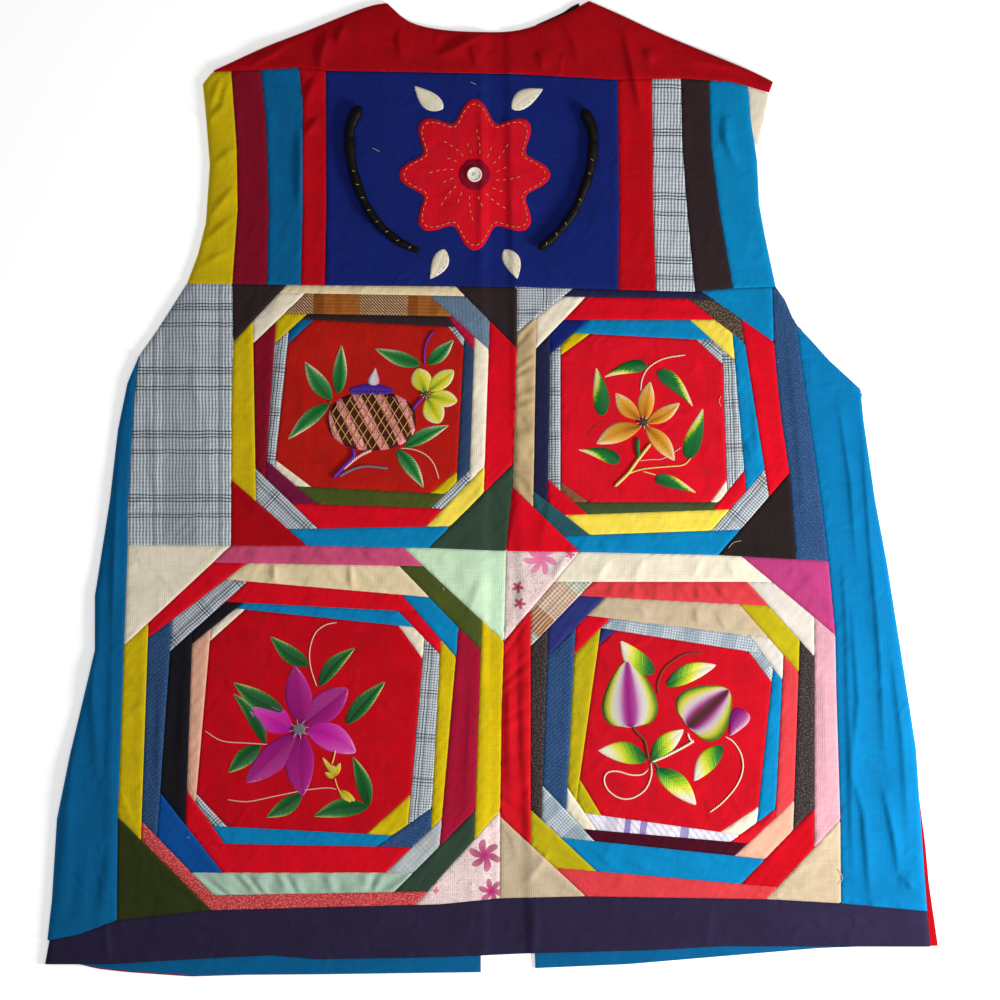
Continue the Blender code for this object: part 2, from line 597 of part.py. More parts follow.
def gather_cuts(bm, block, side, row):
    """Cuts one strip across at each gather. Returns the points that a gather lifts."""
    inner_point, facing = strip_line(block, side, row["round"] - 1)
    last = row["round"] >= block["rounds"]
    outer_point = inner_point + facing * LAST_STRIP
    if not last:
        outer_point = strip_line(block, side, row["round"])[0]
    along = Vector((-facing.y, facing.x))
    middle = (inner_point + outer_point) / 2
    near = (inner_point - middle).dot(facing) + GROOVE_HALF * 0.5
    far = (outer_point - middle).dot(facing) - GROOVE_HALF * 0.5

    def strip_faces():
        return [
            f for f in bm.faces
            if near < (f.calc_center_median().xy - middle).dot(facing) < far
        ]

    cut(bm, strip_faces(), middle, facing)
    reach = [(v.co.xy - middle).dot(along) for f in strip_faces() for v in f.verts]
    first, final = min(reach) + GATHER_MARGIN, max(reach) - GATHER_MARGIN
    pitch = (final - first) / row["gathers"]
    ridges = []
    for i in range(2 * row["gathers"] + 1):
        place = middle + along * (first + pitch * i / 2)
        cut(bm, strip_faces(), place, along)
        if i % 2:
            ridges.append(place)
    return ridges


def fronts():
    """The two fronts under the back, each an outer cloth with a lining on it."""
    left_side = smooth(ARMHOLE_LEFT)[:-1] + smooth(SIDE_LEFT, CURVE_STEP)
    right_side = smooth(ARMHOLE_RIGHT)[:-1] + smooth(SIDE_RIGHT, CURVE_STEP)[:-1]
    for name, colour, inset, low, thick in (
        ("front", "red", FRONT_INSET, 0.0, FRONT_THICK),
        ("front_lining", "turquoise", LINING_INSET, LINING_LOW, LINING_THICK),
    ):
        hem = {side: [(x, y - inset) for x, y in LINING_HEM[side]] for side in LINING_HEM}
        rise = OUTER_SHORTER if name == "front" else 0.0
        loop = [(x, y + rise) for x, y in hem["left"][1:-1]]
        x, y = hem["left"][-1]
        loop += [(x + inset - EDGE_CLEAR, y + rise)]
        loop += [(x + inset - EDGE_CLEAR, y) for x, y in FRONT_NECK["left"][:1]]
        loop += smooth(FRONT_NECK["left"], NECK_STEP)[1:-1]
        loop += smooth(SHOULDER_LEFT, CURVE_STEP)[1:][::-1] + left_side[:-1]
        loop += [(HEM_ENDS["left"], hem["left"][0][1] + rise)]
        plate(f"{name}_left", colour, inset_loop(loop, inset), low, thick)

        x, y = hem["right"][0]
        loop = [(x - inset + EDGE_CLEAR, y + rise)]
        loop += [(x, y + rise) for x, y in hem["right"][1:-1]]
        if name == "front":
            turned = [(x + inset, y - inset * (y < 30)) for x, y in TURNED_EDGE]
            loop += turned[::-1] + [p for p in right_side if p[1] > TURNED_EDGE[0][1] + 15][::-1]
        else:
            loop += [(HEM_ENDS["right"], hem["right"][-1][1])] + right_side[::-1]
        loop += [(x - SHOULDER_SHIFT, y)
                 for x, y in smooth(SHOULDER_RIGHT, CURVE_STEP)[1:-1][::-1]]
        loop += smooth(FRONT_NECK["right"], NECK_STEP)[:-1]
        x, y = FRONT_NECK["right"][-1]
        loop += [(x - inset + EDGE_CLEAR, y)]
        plate(f"{name}_right", colour, inset_loop(loop, inset), low, thick)
    plate("armhole_patch_right", "cream", inset_loop(CREAM_PATCH, SEAM_GAP), 0.0, PATCH_THICK)


def upper_section():
    """The yoke, the navy panel with its frame strips, and the strips beside it."""
    yoke_seam, lower_seam = across(SEAMS_ACROSS["yoke"]), across(SEAMS_ACROSS["upper"])
    top = smooth(SHOULDER_LEFT)[:-1] + smooth(NECK, 8)[:-1] + smooth(SHOULDER_RIGHT)
    panel("yoke", "red", level(YOKE_LEFT_END), up(YOKE_RIGHT_END, False),
          yoke_seam, across(top, False), ("high", "right"), (15, 16), SAG_LINES)
    armhole_left = up(smooth(ARMHOLE_LEFT)[1:], False)
    armhole_right = up(smooth(ARMHOLE_RIGHT), False)
    seams = {name: up(points) for name, points in SEAMS_UP.items()}
    columns = (
        ("strip_yellow", "yellow", armhole_left, seams["yellow_burgundy"], ("left",)),
        ("strip_burgundy", "burgundy", seams["yellow_burgundy"], seams["burgundy_turquoise"], ()),
        ("strip_turquoise_left", "turquoise", seams["burgundy_turquoise"],
         seams["turquoise_red"], ()),
        ("frame_strip_left", "red", seams["turquoise_red"], seams["red_panel"], ()),
        ("centre_panel", "navy", seams["red_panel"], seams["panel_red"], ()),
        ("frame_strip_right", "red", seams["panel_red"], seams["red_plaid"], ()),
        ("strip_plaid", "plaid", seams["red_plaid"], seams["plaid_espresso"], ()),
        ("strip_espresso", "espresso", seams["plaid_espresso"], seams["espresso_turquoise"], ()),
        ("strip_turquoise_right", "turquoise", seams["espresso_turquoise"], armhole_right,
         ("right",)),
    )
    for name, colour, left, right, rolled in columns:
        lines = SAG_LINES if name == "centre_panel" else ()
        spacing = (40, 38) if name == "centre_panel" else (20, 18 if rolled else 38)
        panel(name, colour, left, right, lower_seam, yoke_seam, rolled, spacing, lines)


def joined_edges(lower, upper, meeting):
    """One edge that follows the upper seam above a height and the lower one below it."""

    def x_at(y):
        return upper(y) if y > meeting else lower(y)

    x_at.bends = lower.bends
    return x_at


def side_pieces():
    """The plaid panel, the denim wedge and the two side panels."""
    seams = {name: up(points) for name, points in SEAMS_UP.items()}
    across_seams = {name: across(points) for name, points in SEAMS_ACROSS.items()}
    left_edge = up(smooth(ARMHOLE_LEFT)[1:-1] + smooth(SIDE_LEFT), False)
    right_edge = up(smooth(ARMHOLE_RIGHT)[:-1] + smooth(SIDE_RIGHT), False)
    side_plaid, wedge_side = seams["side_plaid"], seams["wedge_side"]
    armpit = SEAMS_UP["side_plaid"][-1][1]
    wedge_top = SEAMS_UP["wedge_side"][-1][1]
    panel("plaid_panel", "plaid", joined_edges(side_plaid, left_edge, armpit),
          seams["plaid_block"], across_seams["middle"], across_seams["upper"],
          ("left",), (40, 12), (), armpit)
    panel("denim_wedge", "denim", seams["block_wedge"],
          joined_edges(wedge_side, right_edge, wedge_top),
          across_seams["middle"], across_seams["upper"], (), (20, 16))
    panel("side_panel_left", "turquoise", left_edge, side_plaid, across_seams["hem"],
          level(armpit - LEFT_PANEL_BELOW), ("left",), (9, 24))
    panel("side_panel_right", "turquoise", wedge_side, right_edge, across_seams["hem"],
          across(SIDE_PANEL_TOP, False), ("right", "high"), (11, 22))
    panel("hem_band", "hem_navy", up(HEM_LEFT_END, False),
          up(HEM_RIGHT_END, False), across_seams["edge"],
          across_seams["hem"], ("left", "right"), (40, 20), SAG_LINES)


def blocks():
    """The four patchwork blocks, each as its centre and its eight sides."""
    for name in BLOCKS:
        bm, strips = block_strips(name)
        for side in ("centre", *BEARINGS):
            faces = [f for (at, ring), some in strips.items() if at == side for f in some]
            stack(name, side, faces)
        bm.free()


def applique():
    """A red rosette and two stuffed cords on the navy panel."""
    bm = bmesh.new()
    cx, cy = ROSETTE["middle"]
    around = 6 * ROSETTE["petals"]
    centre = bm.verts.new((cx, cy, 0))
    rim = []
    for i in range(around):
        turn = 2 * math.pi * i / around
        r = ROSETTE["radius"] + ROSETTE["wave"] * math.cos(ROSETTE["petals"] * turn)
        rim.append(bm.verts.new((cx + r * math.cos(turn), cy + r * math.sin(turn), 0)))
    for a, b in zip(rim, rim[1:] + rim[:1]):
        bm.faces.new((centre, a, b))
    for line in SAG_LINES:
        low, high = Vector((line(0), 0)), Vector((line(FAR_UP), FAR_UP))
        run = (high - low).normalized()
        cut(bm, list(bm.faces), low, Vector((-run.y, run.x)))
    bmesh.ops.remove_doubles(bm, verts=list(bm.verts), dist=MERGED)
    bm.verts.index_update()
    points = []
    for vertex in bm.verts:
        x, y = vertex.co.xy
        low = BACK_LOW + BACK_THICK + SEAM_GAP - sag(x, y)
        points.append((x, y, low + ROSETTE["thick"], low))
    wall("rosette", points, [tuple(v.index for v in f.verts) for f in bm.faces], "bright_red")
    bm.free()
    for side, points in CORDS.items():
        curve = bpy.data.curves.new(f"cord_{side}", "CURVE")
        curve.dimensions = "3D"
        spline = curve.splines.new("POLY")
        route = smooth(points, 7)
        spline.points.add(len(route) - 1)
        height = BACK_LOW + BACK_THICK + SEAM_GAP + CORD_RADIUS
        for place, (x, y) in zip(spline.points, route):
            place.co = (*placed_point(x, y, height), 1)
        curve.bevel_depth = CORD_RADIUS * MM
        curve.bevel_resolution = 2
        curve.use_fill_caps = True
        curve.materials.append(material("black"))
        bpy.context.collection.objects.link(bpy.data.objects.new(f"cord_{side}", curve))


for old in list(bpy.data.objects):
    bpy.data.objects.remove(old)
upper_section()
side_pieces()
blocks()
fronts()
applique()
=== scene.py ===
"""The looks of a patchwork vest that lies on its fronts with its back up."""

import math

import bpy
import numpy as np
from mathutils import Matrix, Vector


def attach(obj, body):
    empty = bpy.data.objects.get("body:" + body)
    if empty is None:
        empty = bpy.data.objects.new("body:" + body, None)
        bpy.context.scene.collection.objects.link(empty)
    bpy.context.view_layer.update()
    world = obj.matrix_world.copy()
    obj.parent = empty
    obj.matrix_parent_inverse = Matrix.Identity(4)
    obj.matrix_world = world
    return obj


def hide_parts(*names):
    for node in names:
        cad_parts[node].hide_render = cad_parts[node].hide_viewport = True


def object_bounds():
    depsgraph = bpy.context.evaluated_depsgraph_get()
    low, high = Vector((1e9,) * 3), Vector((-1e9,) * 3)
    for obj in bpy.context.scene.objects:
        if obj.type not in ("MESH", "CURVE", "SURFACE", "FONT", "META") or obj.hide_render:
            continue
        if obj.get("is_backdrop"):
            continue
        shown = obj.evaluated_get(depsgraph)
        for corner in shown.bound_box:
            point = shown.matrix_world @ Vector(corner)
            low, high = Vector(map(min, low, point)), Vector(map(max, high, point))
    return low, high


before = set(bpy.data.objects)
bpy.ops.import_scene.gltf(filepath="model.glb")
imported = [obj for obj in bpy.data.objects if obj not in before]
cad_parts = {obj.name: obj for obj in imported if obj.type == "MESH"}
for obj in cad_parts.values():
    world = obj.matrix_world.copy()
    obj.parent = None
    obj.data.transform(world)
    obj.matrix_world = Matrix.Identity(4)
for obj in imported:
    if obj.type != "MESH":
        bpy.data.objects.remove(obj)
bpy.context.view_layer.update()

# The floor, the light and the camera
# The vest lies on a pale floor and is seen from straight above, as flat clothes are shown.
# Soft light comes from the right, so each fold has a lit side and a shaded one.

MM = 0.001
VIEW_MIDDLE = (5.9 * MM, -7.3 * MM)  # the garment's place under the middle of the view
VIEW_SIDE = 700 * MM  # the side of the square that the camera sees
CAMERA_HEIGHT = 5.0
SENSOR = 36.0
FLOOR_SIDE, FLOOR_GLOW, ROOM_GLOW = 14, 0.35, 0.3


def linear(code):
    """A colour for a shader socket, from an sRGB hex value."""
    parts = [int(code[i : i + 2], 16) / 255 for i in (1, 3, 5)]
    return (*(c / 12.92 if c <= 0.04045 else ((c + 0.055) / 1.055) ** 2.4 for c in parts), 1)


def add(tree, kind, inputs=(), **settings):
    """Adds a node with its settings, then links or sets its inputs. Returns the node."""
    node = tree.nodes.new(kind)
    for name, value in settings.items():
        setattr(node, name, value)
    for key, value in dict(inputs).items():
        if isinstance(value, bpy.types.NodeSocket):
            tree.links.new(value, node.inputs[key])
        else:
            node.inputs[key].default_value = value
    return node


def blank_material(name):
    """A new material with its tree, its shader and nothing else."""
    made = bpy.data.materials.new(name)
    made.use_nodes = True
    return made, made.node_tree, made.node_tree.nodes["Principled BSDF"]


bpy.ops.object.select_all(action="DESELECT")
bpy.ops.mesh.primitive_plane_add(size=FLOOR_SIDE, location=(0, 0, 0))
floor = bpy.context.object
floor.name = "floor"
# Matt white paper: an even white ground without a shine.
paper, _, shader = blank_material("matt white paper")
shader.inputs["Base Color"].default_value = linear("#F6F6F6")
shader.inputs["Roughness"].default_value = 0.9
shader.inputs["Specular IOR Level"].default_value = 0.0
shader.inputs["Emission Color"].default_value = linear("#FFFFFF")
shader.inputs["Emission Strength"].default_value = FLOOR_GLOW  # as on a light table
floor.data.materials.append(paper)
floor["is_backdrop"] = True

LIGHTS = (
    {"name": "window", "place": (0.82, -0.34, 0.46), "wide": 0.28, "watts": 12.0},
    {"name": "room", "place": (0.3, -0.1, 2.2), "wide": 1.6, "watts": 11},
)
for lamp in LIGHTS:
    bpy.ops.object.light_add(type="AREA", location=lamp["place"])
    light = bpy.context.object
    light.name = lamp["name"]
    light.data.size = lamp["wide"]
    light.data.energy = lamp["watts"]
    aim = -np.array(lamp["place"])
    light.rotation_euler = (
        math.atan2(math.hypot(aim[0], aim[1]), -aim[2]), 0, math.atan2(aim[0], -aim[1]) + math.pi)
world = bpy.data.worlds.new("white room")
bpy.context.scene.world = world
world.use_nodes = True
background = world.node_tree.nodes["Background"]
background.inputs["Color"].default_value = linear("#FFFFFF")
background.inputs["Strength"].default_value = ROOM_GLOW

bpy.ops.object.camera_add(location=(*VIEW_MIDDLE, CAMERA_HEIGHT), rotation=(0, 0, 0))
camera = bpy.context.object
camera.data.sensor_width = SENSOR
camera.data.lens = SENSOR * CAMERA_HEIGHT / VIEW_SIDE
bpy.context.scene.camera = camera
bpy.context.scene.view_settings.view_transform = "Standard"  # keeps the dyes' full strength

# The yoke
# One piece of red cotton across the shoulders, cut to the neck and turned in along its edges.
# It is sewn over the tops of the strips below it, and soft folds run down from the neck.

MIDDLE = (-0.1, 339.8)  # the middle of the garment, in its own millimetres
TOP = 4.6  # how high the back's cloth lies
CLOTH_THICK = 0.8
SPACING = 1.6  # between rows of a cloth's grid
# How far in each row beside an edge lies, and how far it lies below the top.
SEAM_IN = np.array([0.0, 0.12, 0.25, 0.4, 0.6, 0.9, 1.3, 1.8, 2.6])
ROLL_IN = np.array([6.0, 3.2, 1.4, 0.4, 0.0, 0.35, 1.2, 2.6, 4.4])
ROLL_DROP = np.array([4.2, 4.15, 3.9, 3.3, 2.4, 1.35, 0.55, 0.12, 0.0])
SEAM_DEPTH, SEAM_WIDE = 0.75, 0.9  # the groove along a seam
UNDER_WIDE, UNDER_RISE = 5.5, 0.22  # the turned edge under a seam's newer side
EDGE_FALL = 0.8  # how much lower the cloth lies towards the garment's edge
PUCKER = 0.3  # how high the small waves along a seam are
FRONT_EDGES = (((-6.1, 0.0), (-6.8, 607.0)), ((29.0, 0.0), (12.8, 607.0)))
SAG, SAG_RAMP = 1.4, 6.0  # the back sinks between the two fronts' edges
LOWEST = 0.25  # how near to the floor a cloth's face can lie
THREAD_SWAY = 1.6  # how far threads wander from straight lines

NECK = ((-73.3, 680.4), (-58.6, 667.8), (-39.0, 662.2), (-9.6, 660.1), (19.8, 661.5),
        (49.2, 672.0), (68.1, 681.8))
SHOULDER_LEFT = ((-194.4, 633.1), (-159.4, 649.2), (-131.4, 660.1), (-89.4, 676.9), NECK[0])
SHOULDER_RIGHT = (NECK[-1], (91.9, 671.3), (120.6, 658.0), (176.6, 634.9), (196.9, 625.1))
YOKE_SEAM = ((-194.4, 631.8), (-182.1, 632.4), (-134.9, 634.9), (-116.0, 632.8),
             (12.8, 630.7), (88.0, 626.5), (132.5, 627.2), (167.5, 625.1), (194.1, 617.4))
# Each fold's row: the line it runs along, how wide it is and how high.
YOKE_FOLDS = (
    (((-6.8, 658.7), (-27.1, 648.2), (-39.0, 642.6)), 2.8, 2.2),
    (((-15.2, 650.3), (-12.4, 643.3), (-9.6, 635.6)), 2.4, 1.8),
    (((31.7, 646.1), (34.5, 640.5), (36.6, 633.5)), 2.4, 1.8),
    (((12.8, 633.5), (12.8, 605.5), (13.5, 577.5)), 2.6, 1.5),
    (((-114.6, 660.1), (-119.5, 644.7), (-120.9, 633.5)), 2.6, 2.1),
    (((-103.4, 665.0), (-106.2, 658.0), (-109.0, 651.0)), 2.6, 1.8),
    (((-123.7, 627.9), (-127.2, 619.5), (-130.7, 611.1)), 2.2, 1.8),
    (((-121.6, 599.9), (-125.8, 594.3), (-130.0, 588.7)), 2.2, 1.8),
    (((90.5, 665.7), (96.8, 640.5), (104.5, 602.7)), 3.0, 2.1),
    (((106.6, 647.5), (109.4, 642.6), (112.2, 637.7)), 2.4, 1.8),
    (((-134.9, 593.6), (-134.2, 563.5), (-135.6, 535.5)), 2.4, 1.8),
    (((162.6, 602.7), (163.3, 583.8), (171.7, 565.6)), 2.6, 2.1),
    (((138.8, 640.5), (159.8, 636.3), (180.8, 630.7)), 3.0, 1.4),
    (((-169.2, 636.3), (-155.2, 643.3), (-141.2, 651.7)), 3.0, 1.4),
    (((-64.2, 661.5), (-65.6, 651.7), (-61.4, 640.5)), 2.8, 1.4),
    (((47.8, 668.5), (56.2, 654.5), (61.8, 637.7)), 2.8, 1.4),
)


def smooth(points, step=6.0):
    """Points along a smooth curve through the given ones, about a step apart."""
    p = [np.array(q, float) for q in points]
    ends = [p[0] * 2 - p[1]] + p + [p[-1] * 2 - p[-2]]
    out = []
    for a, b, c, d in zip(ends, ends[1:], ends[2:], ends[3:]):
        count = max(1, round(float(np.linalg.norm(c - b)) / step))
        for i in range(count):
            t = i / count
            out.append(tuple((b * 2 + (c - a) * t + (a * 2 - b * 5 + c * 4 - d) * t**2
                              + (b * 3 - a - c * 3 + d) * t**3) / 2))
    return out + [tuple(p[-1])]


def at_shares(points, shares):
    """Points along a line, at these shares of its length."""
    p = np.array(points, float)
    steps = np.hypot(*np.diff(p, axis=0).T)
    run = np.concatenate([[0], np.cumsum(steps)])
    where = np.asarray(shares) * run[-1]
    return np.stack([np.interp(where, run, p[:, 0]), np.interp(where, run, p[:, 1])], -1)


def length_of(points):
    """The length of a line of points."""
    return float(np.hypot(*np.diff(np.array(points, float), axis=0).T).sum())


def distance_to(points, x, y):
    """How far each place is from a line, how far along the line it is, as a share, and on which
    side of the line it is."""
    nearest, along, run = np.full(x.shape, 1e9), np.zeros(x.shape), 0.0
    side = np.ones(x.shape)
    total = max(length_of(points), 1e-6)
    for (ax, ay), (bx, by) in zip(points, points[1:]):
        dx, dy = bx - ax, by - ay
        step = max(math.hypot(dx, dy), 1e-6)
        t = np.clip(((x - ax) * dx + (y - ay) * dy) / step**2, 0, 1)
        far = np.hypot(x - ax - t * dx, y - ay - t * dy)
        along = np.where(far < nearest, (run + t * step) / total, along)
        side = np.where(far < nearest, np.sign(dx * (y - ay) - dy * (x - ax)), side)
        nearest = np.minimum(nearest, far)
        run += step
    return nearest, along, side


def ripple(x, y):
    """Small uneven waves, from -1 to 1, that run on from each piece to the next."""
    return (np.sin(0.71 * x + 0.23 * y + 1.1) * np.sin(0.19 * x - 0.83 * y)
            + 0.6 * np.sin(1.33 * x - 0.41 * y + 2.0) * np.sin(0.52 * x + 1.17 * y)) / 1.6


FOLD_WIDER, FOLD_HIGHER = 1.4, 1.55  # all folds together, as in a cloth that was pressed less
NEAR_SIDE, FAR_SIDE = 1.3, 0.36  # a fold's far side is steeper than its near one
CREST = 0.8  # how wide a fold's round crest is


def lie(x, y, folds=()):
    """How far the back's cloth stands above or below flat, in millimetres."""
    rise = 0.22 * np.sin(x / 17 + 0.8 * np.sin(y / 31)) * np.sin(y / 23 + 0.7 * np.sin(x / 37))
    rise += 0.10 * np.sin(x / 6.1 + y / 9.7) * np.sin(y / 7.3 - x / 13)
    left, right = (np.interp(y, (a[1], b[1]), (a[0], b[0])) for a, b in FRONT_EDGES)
    inside = np.clip(np.minimum(x - left, right - x) / SAG_RAMP, 0, 1)
    rise -= SAG * inside * inside * (3 - 2 * inside)
    for line, wide, crest in folds:
        ends = np.array(line)
        far = 12 * wide
        if (x.min() > ends[:, 0].max() + far or x.max() < ends[:, 0].min() - far
                or y.min() > ends[:, 1].max() + far or y.max() < ends[:, 1].min() - far):
            continue
        away, along, near = distance_to(line, x, y)
        reach = FOLD_WIDER * wide * np.where(near > 0, NEAR_SIDE, FAR_SIDE)
        shape = np.exp(-(np.hypot(away, CREST) - CREST) / reach)
        fade = np.sin(math.pi * np.clip(along, 0.02, 0.98)) ** 0.7
        rise += FOLD_HIGHER * crest * shape * fade
    return rise


def rows_along(run, start, end, count=None, spacing=SPACING):
    """Shares of each run for the rows of a grid, how far each row drops at a rolled side, and
    how many gaps the even rows leave. Start and end say how much of a roll each side has."""
    run = np.maximum(run, 0.05)
    fit = np.minimum(1, 0.45 * run / SEAM_IN[-1])
    fit_roll = np.minimum(1, 0.45 * run / ROLL_IN[-1])

    def beside(roll):
        inset = SEAM_IN[:, None] * fit * (1 - roll) + ROLL_IN[:, None] * fit_roll * roll
        return inset, ROLL_DROP[:, None] * roll * np.ones_like(run)

    (first, drop_first), (last, drop_last) = beside(start), beside(end)
    count = count or max(1, round((run.mean() - first[-1].mean() - last[-1].mean()) / spacing))
    t = (np.arange(1, count) / count)[:, None]
    inner = first[-1] + t * (run - first[-1] - last[-1])
    shares = np.concatenate([first, inner, run - last[::-1]]) / run
    return shares, np.concatenate([drop_first, inner * 0, drop_last[::-1]]), count


def grid_piece(name, place, spots, shares, finish, thick):
    """A wall of even thickness whose face goes through a grid of places in mm. It has two UV
    maps: spots in mm, and shares of its sides."""
    x, y, z = place
    rows, columns = x.shape
    bpy.ops.object.select_all(action="DESELECT")
    bpy.ops.mesh.primitive_grid_add(x_subdivisions=columns - 1, y_subdivisions=rows - 1, size=1)
    piece = bpy.context.object
    piece.name = name
    mesh = piece.data
    start = np.empty(len(mesh.vertices) * 3)
    mesh.vertices.foreach_get("co", start)
    start = start.reshape(-1, 3)
    i = ((start[:, 0] + 0.5) * (columns - 1)).round().astype(int)
    j = ((start[:, 1] + 0.5) * (rows - 1)).round().astype(int)
    placed = np.stack([(x - MIDDLE[0]) * MM, (y - MIDDLE[1]) * MM, np.maximum(z, LOWEST) * MM], -1)
    mesh.vertices.foreach_set("co", placed[j, i].ravel())
    corner = np.empty(len(mesh.loops), int)
    mesh.loops.foreach_get("vertex_index", corner)
    mesh.uv_layers[0].data.foreach_set("uv", np.stack(spots, -1)[j, i][corner].ravel())
    second = mesh.uv_layers.new(name="shares")
    second.data.foreach_set("uv", np.stack(shares, -1)[j, i][corner].ravel())
    mesh.materials.append(finish)
    bpy.ops.object.shade_smooth()
    wall = piece.modifiers.new("thickness", "SOLIDIFY")
    wall.thickness, wall.offset = thick * MM, -1
    bpy.ops.object.modifier_apply(modifier=wall.name)
    return piece


def cloth(name, low, high, left, right, finish, rolled=(), under=("low",), folds=(),
          lift=None, own_uv=True, depth=SEAM_DEPTH, over=0.0, level=None, thick=CLOTH_THICK,
          spacing=SPACING):
    """One piece of cloth between four lines of points. Low and high run from left to right, and
    left and right run up. Rolled sides turn under at the garment's edge, and the seam's turned
    edges lie under the sides in under. It lies as the back does, or flat at a level."""
    rolled = {side: 1.0 for side in rolled} if not isinstance(rolled, dict) else rolled
    roll = {side: rolled.get(side, 0.0) for side in ("low", "high", "left", "right")}
    guess = np.linspace(0, 1, 41)
    tall = np.hypot(*(at_shares(high, guess) - at_shares(low, guess)).T)
    wide = np.hypot(*(at_shares(right, guess) - at_shares(left, guess)).T)
    wide = np.maximum(wide, 0.5 * min(length_of(low), length_of(high)))

    def weight(side, shares):
        value = roll[side]
        return value(shares) if callable(value) else value + 0 * shares

    first_u, _, columns = rows_along(wide, weight("left", guess), weight("right", guess),
                                     None, spacing)
    first_v, _, rows = rows_along(tall, weight("low", guess), weight("high", guess),
                                  None, spacing)
    first_u, first_v = first_u.mean(1), first_v.mean(1)
    run_u, run_v = np.interp(first_v, guess, wide), np.interp(first_u, guess, tall)
    u, drop_u, _ = rows_along(run_u, weight("left", first_v), weight("right", first_v), columns)
    v, drop_v, _ = rows_along(run_v, weight("low", first_u), weight("high", first_u), rows)
    u, drop_u = u.T, drop_u.T
    c = [np.array(p, float) for p in (low[0], low[-1], high[0], high[-1])]
    uu, vv = u[..., None], v[..., None]
    flat = ((1 - vv) * at_shares(low, u) + vv * at_shares(high, u)
            + (1 - uu) * at_shares(left, v) + uu * at_shares(right, v)
            - (1 - uu) * (1 - vv) * c[0] - uu * (1 - vv) * c[1]
            - (1 - uu) * vv * c[2] - uu * vv * c[3])
    x, y = flat[..., 0], flat[..., 1]
    drop = np.maximum(drop_u, drop_v)
    flat_top = TOP + over + lie(x, y, folds) * (1 - drop / ROLL_DROP[0])
    z = flat_top - drop if level is None else level + 0 * x
    sides = {"low": low, "high": high, "left": left, "right": right}
    for side, line in sides.items():
        sewn = 1 - weight(side, u if side in ("low", "high") else v)
        away = distance_to(line, x, y)[0]
        z -= sewn * depth * np.exp(-((away / SEAM_WIDE) ** 1.3))
        z -= (1 - sewn) * EDGE_FALL * np.exp(-away / 7) * (level is None)
        z += sewn * PUCKER * min(1, depth) * ripple(x, y) * np.exp(-away / 6)
        if side in under:
            z += sewn * UNDER_RISE / (1 + np.exp((away - UNDER_WIDE) / 0.45))
    if lift:
        z += lift(x, y, u, v) * (1 - drop / ROLL_DROP[0])
    su, sv = x, y
    if own_uv:
        ends = low if length_of(low) > 1 else high
        turn = math.atan2(ends[-1][1] - ends[0][1], ends[-1][0] - ends[0][0])
        su = (x - ends[0][0]) * math.cos(turn) + (y - ends[0][1]) * math.sin(turn)
        sv = (y - ends[0][1]) * math.cos(turn) - (x - ends[0][0]) * math.sin(turn)
    piece = grid_piece(name, (x, y, z), (su, sv), (u, v), finish, thick)
    piece["plan"] = plan_of(low, high, left, right)
    return piece


def plan_of(low, high, left, right):
    """The flat area of a piece in square millimetres, from its outline."""
    loop = np.array(list(low) + list(right) + list(high)[::-1] + list(left)[::-1], float)
    nxt = np.roll(loop, -1, axis=0)
    return float(abs((loop[:, 0] * nxt[:, 1] - nxt[:, 0] * loop[:, 1]).sum()) / 2)


def joined(name, pieces):
    """Makes several pieces that are sewn together one object."""
    bpy.ops.object.select_all(action="DESELECT")
    for piece in pieces:
        piece.select_set(True)
    bpy.context.view_layer.objects.active = pieces[0]
    plan = sum(piece.get("plan", 0.0) for piece in pieces)
    if len(pieces) > 1:
        bpy.ops.object.join()
    pieces[0].name = name
    pieces[0]["plan"] = plan
    return pieces[0]


def sewn_in(piece, node):
    """Attaches a finished cloth to the garment's root and hides the part that it replaces."""
    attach(piece, "root")
    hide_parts(node)


def dye(tree, shader, colour, tone, height, depth, rough, specular):
    """Gives a shader a colour that is lighter and darker by a tone, threads that stand out by a
    depth in mm, and a shine. Returns the bump's normal."""
    grey = add(tree, "ShaderNodeCombineColor", {"Red": tone, "Green": tone, "Blue": tone})
    dyed = add(tree, "ShaderNodeMix", {0: 1.0, 6: colour, 7: grey.outputs["Color"]},
               data_type="RGBA", blend_type="MULTIPLY").outputs[2]
    tree.links.new(dyed, shader.inputs["Base Color"])
    bump = add(tree, "ShaderNodeBump", {"Height": height, "Distance": depth * MM})
    tree.links.new(bump.outputs["Normal"], shader.inputs["Normal"])
    shader.inputs["Roughness"].default_value = rough
    shader.inputs["Specular IOR Level"].default_value = specular
    return bump.outputs["Normal"]


